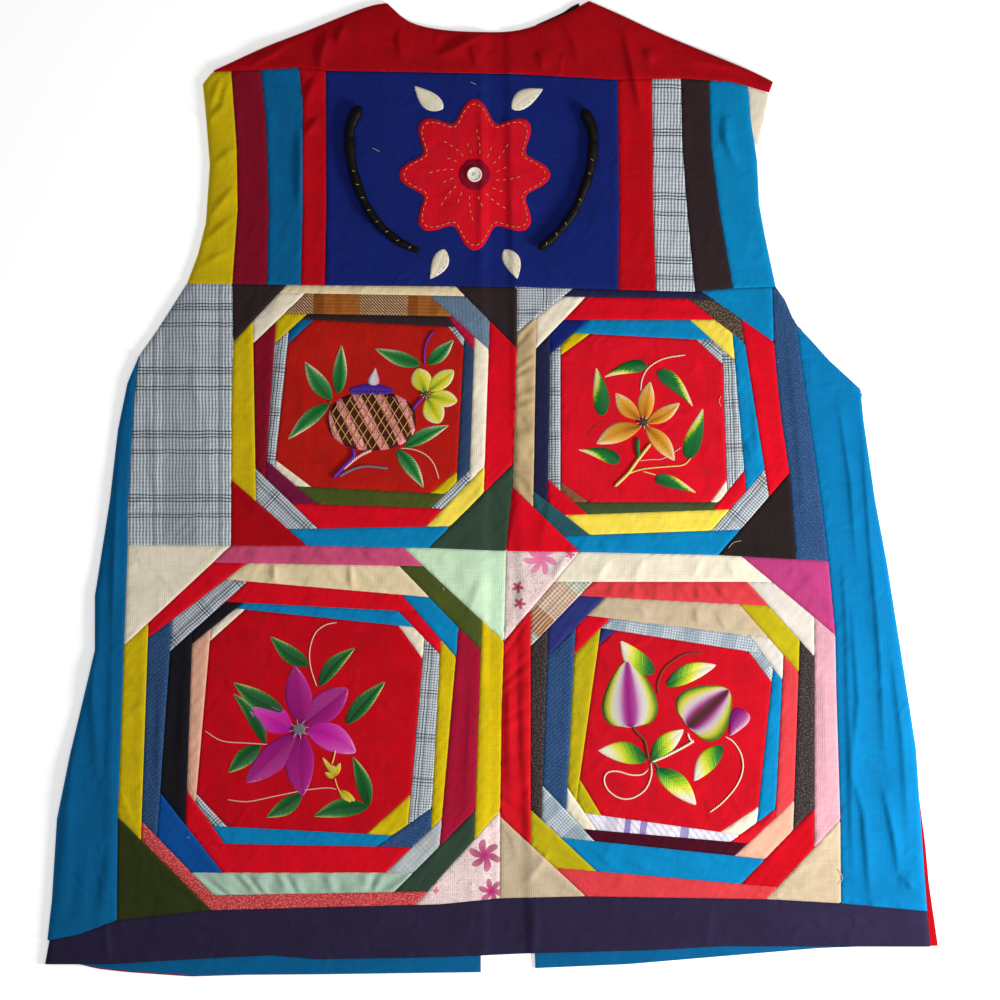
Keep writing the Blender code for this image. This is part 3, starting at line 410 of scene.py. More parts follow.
def woven(name, code, pattern=None, fleck=None, twill=False, pitch=1.3, relief=0.1,
          mottle=0.08, slub=0.055, sheen=0.015, rough=0.85, crumple=0.95):
    """A cotton in plain weave or twill, dyed one colour or woven in a pattern of colours. Its
    threads are about 0.5 mm apart, too fine to show here, so they are drawn 1.3 mm apart. The
    colour varies a little along each thread and over the whole cloth."""
    made, tree, shader = blank_material(name)
    where = add(tree, "ShaderNodeUVMap").outputs["UV"]
    sway = add(tree, "ShaderNodeTexNoise", {"Vector": where, "Scale": 0.09}).outputs["Color"]
    sway = add(tree, "ShaderNodeVectorMath", {0: sway, 1: (0.5,) * 3}, operation="SUBTRACT")
    where = add(tree, "ShaderNodeVectorMath", {0: sway.outputs[0], 1: (THREAD_SWAY, THREAD_SWAY, 0),
                                                2: where},
                operation="MULTIPLY_ADD").outputs[0]
    if twill:
        threads = add(tree, "ShaderNodeTexWave", {"Vector": where, "Scale": 0.155 / pitch * 1.5,
                      "Distortion": 0.8, "Detail": 1.0}, bands_direction="DIAGONAL").outputs["Fac"]
    else:
        warp, weft = (
            add(tree, "ShaderNodeTexWave", {"Vector": where, "Scale": 0.31 / pitch,
                "Distortion": 1.2, "Detail": 2.0, "Detail Scale": 1.4},
                bands_direction=way).outputs["Fac"] for way in "XY")
        threads = add(tree, "ShaderNodeMath", {0: warp, 1: weft}, operation="MULTIPLY").outputs[0]
    colour = linear(code)
    if pattern:
        colour = pattern(tree, where, colour)
    if fleck:
        specks = add(tree, "ShaderNodeTexNoise", {"Vector": where, "Scale": 0.9, "Detail": 2.0})
        specks = add(tree, "ShaderNodeMapRange", {"Value": specks.outputs["Fac"],
                     "From Min": 0.5, "From Max": 0.62, "To Max": fleck[1]}).outputs["Result"]
        colour = add(tree, "ShaderNodeMix", {0: specks, 6: colour, 7: linear(fleck[0])},
                     data_type="RGBA").outputs[2]
    # Painted light and shade of the weave: each thread lighter on its crest, darker where it dips.
    tone = add(tree, "ShaderNodeMapRange", {"Value": threads, "To Min": 0.93, "To Max": 1.06})
    tone = tone.outputs["Result"]
    for scale, size, amount in (((0.05, 0.9, 1), 1.0, slub), ((0.9, 0.05, 1), 1.0, slub),
                                ((1, 1, 1), 0.04, mottle)):
        stretched = add(tree, "ShaderNodeMapping", {"Vector": where, "Scale": scale})
        noise = add(tree, "ShaderNodeTexNoise", {"Vector": stretched.outputs["Vector"],
                    "Scale": size, "Detail": 3.0}).outputs["Fac"]
        level = add(tree, "ShaderNodeMapRange", {"Value": noise, "From Min": 0.3,
                    "From Max": 0.7, "To Min": 1 - amount, "To Max": 1 + amount})
        tone = add(tree, "ShaderNodeMath", {0: tone, 1: level.outputs["Result"]},
                   operation="MULTIPLY").outputs[0]
    normal = dye(tree, shader, colour, tone, threads, relief, rough, 0.08)
    # Washing leaves a small crumple in the cloth, with narrow ridges and flat places between.
    creased = add(tree, "ShaderNodeTexNoise", {"Vector": where, "Scale": 0.05, "Detail": 3.0,
                  "Roughness": 0.55, "Distortion": 1.1}, noise_type="RIDGED_MULTIFRACTAL")
    bump = add(tree, "ShaderNodeBump", {"Height": creased.outputs["Fac"],
               "Distance": crumple * MM, "Normal": normal})
    tree.links.new(bump.outputs["Normal"], shader.inputs["Normal"])
    shader.inputs["Sheen Weight"].default_value = sheen
    shader.inputs["Sheen Roughness"].default_value = 0.4
    return made


# Red dyed cotton: deep and matt, with a faint grain.
red = woven("red cotton", "#A2030F")
yoke = cloth("yoke_cloth", YOKE_SEAM, smooth(SHOULDER_LEFT)[:-1] + smooth(NECK)[:-1]
             + smooth(SHOULDER_RIGHT), ((-194.4, 631.8), (-194.4, 633.1)),
             ((194.1, 617.4), (196.9, 625.1)), red, ("high",), ("low",), YOKE_FOLDS, own_uv=False)
sewn_in(yoke, "yoke")

# The strips beside the panel
# Narrow strips of cotton in several colours, pieced side by side on both sides of the panel.
# The outer ones are turned in along the armholes, where the yellow one is a little puckered.

UPPER_SEAM = ((-214.0, 484.0), (-116.7, 482.6), (17.6, 481.6), (88.4, 479.5),
              (143.0, 478.1), (168.9, 480.5), (198.8, 481.6))
ARMHOLE_LEFT = ((-194.4, 633.1), (-202.1, 623.7), (-200.0, 602.0), (-197.2, 567.0),
                (-200.0, 526.4), (-205.6, 504.0), (-213.0, 484.5), (-225.9, 464.1),
                (-235.0, 450.1), (-246.5, 434.0))
ARMHOLE_RIGHT = ((179.4, 623.0), (181.5, 598.5), (185.7, 569.8), (187.1, 539.7),
                 (191.3, 516.6), (198.8, 481.6), (205.3, 472.5), (210.6, 459.9),
                 (220.7, 449.4), (236.1, 431.9), (258.1, 410.2))
YELLOW_SEAM = ((-181.4, 483.3), (-177.6, 535.5), (-178.3, 579.6), (-182.1, 633.0))
BURGUNDY_SEAM = ((-157.3, 483.0), (-155.9, 535.5), (-158.0, 598.5), (-161.5, 634.2))
TURQUOISE_SEAM = ((-133.5, 483.0), (-132.1, 535.5), (-132.1, 612.5), (-134.9, 635.0))
PANEL_LEFT = ((-116.7, 482.6), (-115.6, 535.5), (-116.0, 633.0))
PANEL_RIGHT = ((88.4, 479.5), (89.1, 535.5), (88.0, 626.5))
PLAID_LEFT = ((115.0, 478.8), (112.9, 535.5), (112.2, 627.0))
PLAID_RIGHT = ((142.3, 478.1), (136.7, 535.5), (133.2, 583.8), (132.5, 627.2))
ESPRESSO_RIGHT = ((168.6, 480.5), (159.1, 535.5), (153.5, 579.6), (152.1, 626.5))


def part(line, start, end, axis=0):
    """The stretch of a seam between two places along x, or along y where axis is 1."""
    line = sorted(line, key=lambda p: p[axis])
    keys, others = [p[axis] for p in line], [p[1 - axis] for p in line]

    def at(value):
        other = float(np.interp(value, keys, others))
        return (value, other) if axis == 0 else (other, value)

    return [at(start)] + [p for p in line if start + 0.5 < p[axis] < end - 0.5] + [at(end)]


def trimmed(low, high, left, right):
    """The four seams round a piece, each cut off where it meets its neighbours."""

    def meet(across, up):
        across, up = sorted(across), sorted(up, key=lambda p: p[1])
        y = sum(p[1] for p in across) / len(across)
        for _ in range(30):
            x = float(np.interp(y, [p[1] for p in up], [p[0] for p in up]))
            y = float(np.interp(x, [p[0] for p in across], [p[1] for p in across]))
        return x, y

    sw, se, nw, ne = meet(low, left), meet(low, right), meet(high, left), meet(high, right)
    return (part(low, sw[0], se[0]), part(high, nw[0], ne[0]),
            part(left, sw[1], nw[1], 1), part(right, se[1], ne[1], 1))


def lines(*rows):
    """Yarn-dyed lines. Each row: the way across them (X, Y or D, the diagonal), how far apart
    they repeat, where the first is, how wide it is, its colour, and how much it covers."""
    def pattern(tree, where, colour):
        place = add(tree, "ShaderNodeSeparateXYZ", {"Vector": where})
        slanted = add(tree, "ShaderNodeMath", {0: place.outputs["X"], 1: place.outputs["Y"]})
        ways = {"X": place.outputs["X"], "Y": place.outputs["Y"], "D": slanted.outputs[0]}
        for way, pitch, at, wide, code, share in rows:
            wrapped = add(tree, "ShaderNodeMath", {0: ways[way], 1: at + pitch / 2,
                          2: at - pitch / 2}, operation="WRAP").outputs[0]
            mask = add(tree, "ShaderNodeMath", {0: wrapped, 1: at, 2: wide / 2},
                       operation="COMPARE").outputs[0]
            mask = add(tree, "ShaderNodeMath", {0: mask, 1: share}, operation="MULTIPLY")
            colour = add(tree, "ShaderNodeMix", {0: mask.outputs[0], 6: colour, 7: linear(code)},
                         data_type="RGBA").outputs[2]
        return colour

    return pattern


# Plain dyed cottons: strong flat colours that hardly shine. The twill has a slanting rib.
mustard = woven("mustard cotton", "#C9AE0A")
burgundy = woven("burgundy cotton", "#7E0A22")
# Darker than the right side's turquoise partly in dye and partly as painted shade on the left.
turquoise = woven("shaded turquoise cotton", "#045C8E")
clear_turquoise = woven("clear turquoise cotton", "#037BB0")
crimson = woven("crimson cotton", "#B20412")
raspberry = woven("raspberry cotton", "#AE1438")
espresso = woven("espresso twill", "#2C2022", twill=True, relief=0.25)
# A shirting of white and grey-blue threads in narrow upright stripes, crossed by thin dark
# lines in groups of three and two.
PLAID_LINES = (
    ("X", 2.3, 0, 1.15, "#4E5A68", 0.78), ("Y", 2.6, 0, 0.7, "#E4E9ED", 0.3),
    ("Y", 44.6, 19.6, 0.7, "#1D2733", 0.9), ("Y", 44.6, 21.7, 0.7, "#1D2733", 0.9),
    ("Y", 44.6, 23.8, 0.7, "#1D2733", 0.9), ("Y", 44.6, 10.4, 0.7, "#1D2733", 0.85),
    ("Y", 44.6, 8.3, 0.7, "#1D2733", 0.85))
plaid_strip = woven("blue plaid shirting in a strip", "#C6CCD1", lines(
    *PLAID_LINES, ("Y", 44.6, 42.0, 0.7, "#1D2733", 0.7)))
plaid = woven("blue plaid shirting", "#C3CAD0", lines(
    *PLAID_LINES, ("X", 200, -218, 24, "#55626F", 0.3), ("X", 46, -236, 1.2, "#2C3846", 0.55)))
YELLOW_FOLDS = (
    (((-186, 610), (-200, 596)), 1.6, 1.0), (((-190, 628), (-198, 606)), 1.4, 1.1),
    (((-184, 626), (-190, 604)), 1.5, 0.9), (((-180, 552), (-198, 530)), 2.0, 1.1),
    (((-182, 530), (-200, 514)), 1.8, 1.0), (((-182, 508), (-204, 496)), 1.8, 0.8),
    (((-179, 580), (-196, 566)), 2.2, 0.8),
)
UPPER_STRIPS = (
    ("strip_yellow", "yellow", ARMHOLE_LEFT, YELLOW_SEAM, mustard, ("left",)),
    ("strip_burgundy", "burgundy", YELLOW_SEAM, BURGUNDY_SEAM, burgundy, ()),
    ("strip_turquoise_left", "turquoise", BURGUNDY_SEAM, TURQUOISE_SEAM, turquoise, ()),
    ("frame_strip_left", "red", TURQUOISE_SEAM, PANEL_LEFT, crimson, ()),
    ("frame_strip_right", "red", PANEL_RIGHT, PLAID_LEFT, crimson, ()),
    ("strip_plaid", "plaid", PLAID_LEFT, PLAID_RIGHT, plaid_strip, ()),
    ("strip_espresso", "espresso", PLAID_RIGHT, ESPRESSO_RIGHT, espresso, ()),
    ("strip_turquoise_right", "turquoise", ESPRESSO_RIGHT, ARMHOLE_RIGHT, clear_turquoise,
     ("right",)),
)
for name, slot, left, right, finish, rolled in UPPER_STRIPS:
    strip = cloth(f"{name}_cloth", *trimmed(UPPER_SEAM, YOKE_SEAM, left, right), finish, rolled,
                  ("left",), YELLOW_FOLDS + YOKE_FOLDS)
    sewn_in(strip, name)

# The panel
# A piece of royal blue cotton in the middle of the upper back, between two red strips.
# The two front edges underneath print through it as two soft upright creases.

# Royal blue cotton: the deepest and smoothest colour of the back.
royal_blue = woven("royal blue cotton", "#112068")
PANEL_FOLDS = (
    (((-8, 632), (-7, 560), (-9, 484)), 2.4, 1.0), (((14, 630), (13, 560), (16, 482)), 2.4, 0.7),
    (((-60, 500), (-20, 490)), 4, 0.5), (((40, 600), (70, 560)), 6, 0.4),
    (((-100, 560), (-70, 520)), 6, 0.4),
)
panel = cloth("centre_panel_cloth", *trimmed(UPPER_SEAM, YOKE_SEAM, PANEL_LEFT, PANEL_RIGHT),
              royal_blue, (), ("left", "right"), PANEL_FOLDS, own_uv=False)
sewn_in(panel, "centre_panel")

# The four patchwork blocks
# Each block is a red eight-sided centre with strips of cotton sewn round it in rounds, the
# straight and the slanted sides in turn, and a corner at each end of the slanted sides.

MIDDLE_SEAM = ((-254.6, 301.0), (-128.6, 300.3), (-43.2, 298.9), (10.0, 296.8),
               (61.8, 296.1), (157.7, 294.0), (235.4, 289.8))
HEM_SEAM = ((-309.5, 24.5), (-288.2, 28.7), (-262.3, 38.5), (-197.2, 45.5), (-120.9, 47.6),
            (-36.2, 49.7), (5.5, 53.9), (63.9, 55.3), (195.5, 53.2), (244.2, 50.4),
            (304.7, 44.8))
CENTRE_SEAM = ((5.5, 53.0), (5.8, 111.3), (6.8, 182.7), (8.6, 236.6), (10.0, 296.8),
               (14.7, 343.0), (16.0, 382.9), (17.6, 440.3), (17.6, 482.0))
PLAID_BLOCK_SEAM = ((-182.5, 300.0), (-182.1, 386.4), (-180.8, 443.1), (-181.4, 484.0))
SIDE_PLAID_SEAM = ((-262.3, 38.5), (-261.6, 109.2), (-257.1, 232.0), (-254.6, 301.0),
                   (-254.6, 324.1), (-252.5, 361.2), (-250.4, 399.0), (-246.5, 434.0))
BLOCK_WEDGE_SEAM = ((213.0, 290.0), (208.1, 352.1), (202.5, 388.5), (199.7, 415.1),
                    (197.2, 444.5), (196.2, 482.0))
WEDGE_SIDE_SEAM = ((244.2, 50.4), (243.8, 109.2), (241.0, 198.8), (240.3, 238.7),
                   (235.4, 289.8), (230.2, 332.5), (222.1, 388.5), (212.4, 458.0))
BEARINGS = {"e": 0, "ne": 45, "n": 90, "nw": 135, "w": 180, "sw": 225, "s": 270, "se": 315}
ROUND_THE_BLOCK = tuple(BEARINGS)

# Scraps of many cottons: the four centre reds are a little mottled, the light ones show their
# grain, the tweeds and the denim are flecked, and the checks and plaids are woven in lines.
bright_red = woven("bright red cotton", "#CC0C20", mottle=0.1)
orange_red = woven("orange-red cotton", "#AE160E", mottle=0.1)
deep_red = woven("deep red cotton", "#B90416", mottle=0.1)
clear_red = woven("clear red cotton", "#BE0A1C", mottle=0.1)
cream = woven("cream cotton", "#E4D9C2")
navy = woven("slate navy cotton", "#283C5C")
indigo = woven("indigo cotton", "#2A3070")
grey_blue = woven("grey-blue twill", "#5B7084", fleck=("#A9B6C6", 0.15), twill=True)
pale_yellow = woven("pale yellow cotton", "#EBD24A")
dark_green = woven("dark green cotton", "#2E4234")
moss = woven("moss green cotton", "#3C4A2C")
olive = woven("olive cotton", "#46501E")
plum = woven("plum cotton", "#6E1238")
brown_check = woven("tobacco and cream check", "#6E4A30", lines(
    ("D", 2.2, 0, 0.9, "#D0AE86", 0.85), ("X", 66, 36.5, 33, "#A05A18", 0.93),
    ("X", 66, 24, 7, "#6E3410", 0.6), ("X", 66, 38, 5, "#8A4612", 0.5),
    ("Y", 2.4, 0, 0.8, "#4C3322", 0.3)))
small_plaid = woven("fine grey plaid shirting", "#CBD1D6", lines(
    ("X", 1.9, 0, 0.8, "#5A646E", 0.6), ("Y", 1.9, 0, 0.8, "#5A646E", 0.6),
    ("X", 31, 5, 0.7, "#20262E", 0.8), ("X", 31, 7.4, 0.7, "#20262E", 0.8),
    ("X", 31, 9.8, 0.7, "#20262E", 0.5), ("Y", 27, 4, 0.7, "#20262E", 0.75),
    ("Y", 27, 6.4, 0.7, "#20262E", 0.75)))
tweed = woven("brown tweed", "#3C2E22", fleck=("#9A8A78", 0.5), twill=True)
black_twill = woven("black twill", "#231B19", twill=True, relief=0.2)
teal_green = woven("teal green cotton", "#245058")
orchid = woven("orchid pink cotton", "#AE3A72")
lemon_mustard = woven("greenish mustard cotton", "#B3A312")
vermilion = woven("clear scarlet cotton", "#BC0416")
tan = woven("tan cotton", "#BCA277", mottle=0.2)
brown = woven("brown cotton", "#825034")
rose = woven("rose cotton", "#C44A72", mottle=0.22)
mint = woven("mint cotton", "#C2DEBC")
denim = woven("denim", "#24436C", fleck=("#7F98BC", 0.14), twill=True, relief=0.14)
light_grey = woven("pale grey shirting", "#B2B6B8", lines(
    ("X", 3.0, 0, 0.6, "#8F989E", 0.5), ("Y", 3.0, 0, 0.6, "#8F989E", 0.5)))
pale_mint = woven("pale mint cotton", "#A2BCA8")
coral = woven("coral cotton", "#CC3A40")
speckled = woven("speckled coral cotton", "#BC323A", fleck=("#F09084", 0.7))
dark_olive = woven("dark olive cotton", "#2C3414")
peach = woven("peach cotton", "#DCA58C")
black = woven("black cotton", "#17151C")
beige = woven("beige cotton", "#BFAB8E")
cream_tan = woven("cream calico", "#DECAA2")
gingham = woven("fine blue gingham", "#C6CFD4", lines(
    ("X", 1.9, 0, 0.8, "#3F5468", 0.42), ("Y", 1.9, 0, 0.8, "#3F5468", 0.42),
    ("X", 26, 12, 11, "#6E8290", 0.45)))
off_white = woven("off-white cotton", "#D2C9BF")
charcoal = woven("charcoal tweed", "#2C2626", fleck=("#7A6A66", 0.4))
pink = woven("pink cotton", "#CC98A2")
aubergine = woven("aubergine cotton", "#42081A")
cobalt = woven("cobalt cotton", "#084A94")
wine = woven("wine red cotton", "#9C0F2E")
scarlet = woven("scarlet cotton", "#CE061C")
navy_dark = woven("dark navy cotton", "#1F2040")
rainbow_check = woven("orange, brown and mint check", "#B9CBB4", lines(
    ("X", 70, 35, 27, "#C9A88A", 1.0), ("X", 70, 16, 16, "#A85E1A", 0.95),
    ("X", 2.4, 0, 0.9, "#7A5640", 0.6), ("Y", 2.4, 0, 0.9, "#F0E8DC", 0.5),
    ("Y", 7.2, 2, 0.8, "#5A3A2A", 0.5)))
red_crumpled = woven("crumpled red cotton", "#C8101E", mottle=0.2)
# The floral print has small dark squiggles on pale pink, and a few lilies and round flowers.
# Each flower's row: its place, its radius, how many petals it has and its colour.
PRINTED_FLOWERS = (
    ((-4.8, 83.9), 11.5, 6, "#A01860"), ((-0.3, 58.9), 9.0, 6, "#A81A66"),
    ((34.1, 291.7), 12.0, 7, "#D86A98"), ((18.0, 271.6), 4.4, 5, "#B01E40"),
    ((19.7, 260.2), 4.4, 5, "#B01E40"), ((-40.5, 65.1), 2.6, 4, "#D85A88"),
    ((-39.1, 59.4), 2.6, 4, "#D85A88"), ((55.0, 294.6), 3.4, 5, "#C84878"),
)


def floral_print(tree, where, colour):
    """Squiggles drawn from the edges between patches of noise, then each flower."""
    noise = add(tree, "ShaderNodeTexNoise", {"Vector": where, "Scale": 0.42, "Detail": 2.0})
    thin = add(tree, "ShaderNodeMath", {0: noise.outputs["Fac"], 1: 0.5, 2: 0.011},
               operation="COMPARE").outputs[0]
    thin = add(tree, "ShaderNodeMath", {0: thin, 1: 0.6}, operation="MULTIPLY").outputs[0]
    colour = add(tree, "ShaderNodeMix", {0: thin, 6: colour, 7: linear("#7A3348")},
                 data_type="RGBA").outputs[2]
    for spot, radius, petals, code in PRINTED_FLOWERS:
        apart = add(tree, "ShaderNodeVectorMath", {0: where, 1: (*spot, 0)},
                    operation="SUBTRACT").outputs[0]
        sides = add(tree, "ShaderNodeSeparateXYZ", {"Vector": apart})
        far = add(tree, "ShaderNodeVectorMath", {0: apart}, operation="LENGTH").outputs["Value"]
        turn = add(tree, "ShaderNodeMath", {0: sides.outputs["Y"], 1: sides.outputs["X"]},
                   operation="ARCTAN2").outputs[0]
        bent = add(tree, "ShaderNodeMath", {0: far, 1: 0.1}, operation="MULTIPLY").outputs[0]
        turn = add(tree, "ShaderNodeMath", {0: turn, 1: petals / 2, 2: bent},
                   operation="MULTIPLY_ADD").outputs[0]
        beat = add(tree, "ShaderNodeMath", {0: turn}, operation="COSINE").outputs[0]
        beat = add(tree, "ShaderNodeMath", {0: beat}, operation="ABSOLUTE").outputs[0]
        reach = add(tree, "ShaderNodeMapRange", {"Value": beat, "To Min": 0.3 * radius,
                    "To Max": radius}).outputs["Result"]
        inside = add(tree, "ShaderNodeMath", {0: far, 1: reach}, operation="LESS_THAN")
        shade = add(tree, "ShaderNodeMapRange", {"Value": far, "From Max": radius,
                    "To Min": 1.0, "To Max": 0.72}).outputs["Result"]
        cover = add(tree, "ShaderNodeMath", {0: inside.outputs[0], 1: shade},
                    operation="MULTIPLY").outputs[0]
        colour = add(tree, "ShaderNodeMix", {0: cover, 6: colour, 7: linear(code)},
                     data_type="RGBA").outputs[2]
    return colour


floral = woven("pale pink floral print", "#E6CFCB", floral_print)
lavender_print = woven("white cotton with a lavender print", "#DEDAE2", lines(
    ("X", 200, 78.7, 4.2, "#5A3E9A", 0.8), ("X", 200, 67.5, 4.6, "#6A50A4", 0.8),
    ("X", 200, 38.6, 6.0, "#5E4AA0", 0.7), ("D", 5.5, 1, 1.6, "#8E84B8", 0.4),
    ("X", 200, 90, 9.0, "#9A94A4", 0.4)))

# Each side's strips from the centre outwards: the cloth, how far its outer edge lies from the
# block's middle, and how many degrees that edge is turned. The last ends at the block's edge.
BLOCKS = {
    "upper_left": {
        "middle": (-83, 398), "rounds": 3,
        "seams": (MIDDLE_SEAM, UPPER_SEAM, PLAID_BLOCK_SEAM, CENTRE_SEAM),
        "n": ((orange_red, 58.4, -3), (espresso, 63.9, -1), (brown_check, 78.2, -1), (cream_tan,)),
        "ne": ((orange_red, 76.1, -6), (small_plaid, 80.2, -7), (raspberry, 83.9, 3),
               (grey_blue, 100.1, 0), (espresso,)),
        "e": ((orange_red, 61.3, -3), (navy, 69.2, -2), (cream, 79.6, -2), (scarlet,)),
        "se": ((orange_red, 72.7, -6), (mustard, 78.9, 0), (small_plaid, 85.2, 1),
               (pale_yellow, 97.6, 0), (dark_green,)),
        "s": ((orange_red, 58.7, -3), (olive, 69.9, -2), (scarlet, 84.8, 1), (clear_turquoise,)),
        "sw": ((orange_red, 71.7, 8), (cream, 77.6, 4), (plum, 88.4, 1),
               (small_plaid, 104.1, 4), (red,)),
        "w": ((orange_red, 64.4, -6), (small_plaid, 72.0, -4), (burgundy, 83.1, 1), (mustard,)),
        "nw": ((orange_red, 72.7, -2), (turquoise, 78.9, -3), (mustard, 89.9, -1),
               (cream, 102.2, 2), (espresso,)),
    },
    "upper_right": {
        "middle": (107, 388), "rounds": 3,
        "seams": (MIDDLE_SEAM, UPPER_SEAM, CENTRE_SEAM, BLOCK_WEDGE_SEAM),
        "n": ((bright_red, 58.7, -3), (clear_turquoise, 70.5, 0), (scarlet, 85.8, -1), (navy_dark,)),
        "ne": ((bright_red, 66.1, 2), (small_plaid, 73.7, 3), (pale_yellow, 86.6, 7),
               (tweed, 98.4, 10), (clear_turquoise,)),
        "e": ((bright_red, 55.9, 2), (small_plaid, 66.7, 5), (clear_turquoise, 78.6, 9), (scarlet,)),
        "se": ((bright_red, 71.6, 9), (cream, 76.5, 6), (scarlet, 85.9, 4), (small_plaid, 100.8, 4),
               (black_twill,)),
        "s": ((bright_red, 57.1, 0), (moss, 64.1, 2), (pale_yellow, 78.6, 2),
              (clear_turquoise,)),
        "sw": ((bright_red, 69.9, 9), (brown, 75.8, 4), (scarlet, 87.2, 7), (teal_green, 97.6, 1),
               (scarlet,)),
        "w": ((bright_red, 58.9, 0), (small_plaid, 66.9, -1), (navy_dark, 77.0, -1), (tan,)),
        "nw": ((bright_red, 72.5, -9), (mustard, 78.9, -3), (royal_blue, 89.8, 1),
               (cream, 104.4, -7), (small_plaid,)),
    },
    "lower_left": {
        "middle": (-128, 176), "rounds": 4,
        "seams": (HEM_SEAM, MIDDLE_SEAM, SIDE_PLAID_SEAM, CENTRE_SEAM),
        "n": ((deep_red, 75.3, -6), (clear_turquoise, 82.3, -3), (scarlet, 95.9, -5),
              (cream_tan, 111.6, -1), (rose,)),
        "ne": ((deep_red, 92.2, -9), (cream, 99.8, -1), (scarlet, 108.6, -4),
               (clear_turquoise, 122.2, -1), (olive, 135.4, 2), (mint,)),
        "e": ((deep_red, 75.7, -5), (small_plaid, 89.3, -3), (mustard, 99.0, -5),
              (wine, 118.6, -2), (mustard,)),
        "se": ((deep_red, 84.5, -3), (mustard, 99.1, -10), (denim, 112.3, -1),
               (light_grey, 125.4, 0), (dark_green, 140.4, 3), (floral,)),
        "s": ((deep_red, 75.0, -3), (clear_turquoise, 85.1, -1), (scarlet, 104.2, 0),
              (pale_mint, 118.8, 1), (speckled,)),
        "sw": ((deep_red, 90.9, -2), (small_plaid, 98.0, -10), (scarlet, 112.4, -7),
               (cobalt, 131.4, -1), (speckled, 140.6, 0), (dark_olive,)),
        "w": ((deep_red, 74.3, -5), (peach, 83.6, -2), (black, 100.6, -4),
              (denim, 114.6, -2), (mustard,)),
        "nw": ((deep_red, 89.4, -3), (cream, 95.3, -6), (black, 102.7, -3),
               (small_plaid, 116.8, -8), (scarlet, 128.3, -2), (cream,)),
    },
    "lower_right": {
        "middle": (127, 171), "rounds": 4,
        "seams": (HEM_SEAM, MIDDLE_SEAM, CENTRE_SEAM, WEDGE_SIDE_SEAM),
        "n": ((clear_red, 63.9, -9), (gingham, 73.3, -7), (beige, 91.0, -3),
              (coral, 104.3, 0), (cream,)),
        "ne": ((clear_red, 76.2, -8), (gingham, 83.1, -8), (off_white, 93.3, -4),
               (lemon_mustard, 108.3, -3), (off_white, 124.7, 5), (orchid,)),
        "e": ((clear_red, 65.2, -6), (clear_turquoise, 74.4, -3), (coral, 86.3, -2),
              (charcoal, 98.7, 0), (pink,)),
        "se": ((clear_red, 78.6, -11), (cream, 87.3, -9), (red_crumpled, 93.2, -2),
               (peach, 108.5, 1), (vermilion, 127.9, 2), (beige,)),
        "s": ((clear_red, 66.2, -8), (lavender_print, 74.1, -5), (aubergine, 82.9, -6),
              (clear_turquoise, 102.9, -5), (coral,)),
        "sw": ((clear_red, 75.8, -14), (lemon_mustard, 85.1, -11), (cream, 92.9, -2),
               (gingham, 108.5, 2), (lemon_mustard, 126.5, 2), (beige,)),
        "w": ((clear_red, 60.9, -8), (lemon_mustard, 72.1, -3), (denim, 90.1, -2),
              (charcoal, 99.8, 0), (red_crumpled,)),
        "nw": ((clear_red, 79.8, -4), (indigo, 86.9, 0), (scarlet, 99.4, 1), (indigo, 113.0, 1),
               (rainbow_check, 131.5, 5), (floral,)),
    },
}
# The slots of a block's sides, in the order of BEARINGS.
SLOTS = {
    "upper_left": "red espresso cream espresso yellow red turquoise green",
    "upper_right": "red turquoise navy plaid beige red turquoise black",
    "lower_left": "mustard mint rose cream mustard green coral pink",
    "lower_right": "pink rose cream pink red beige coral beige",
}
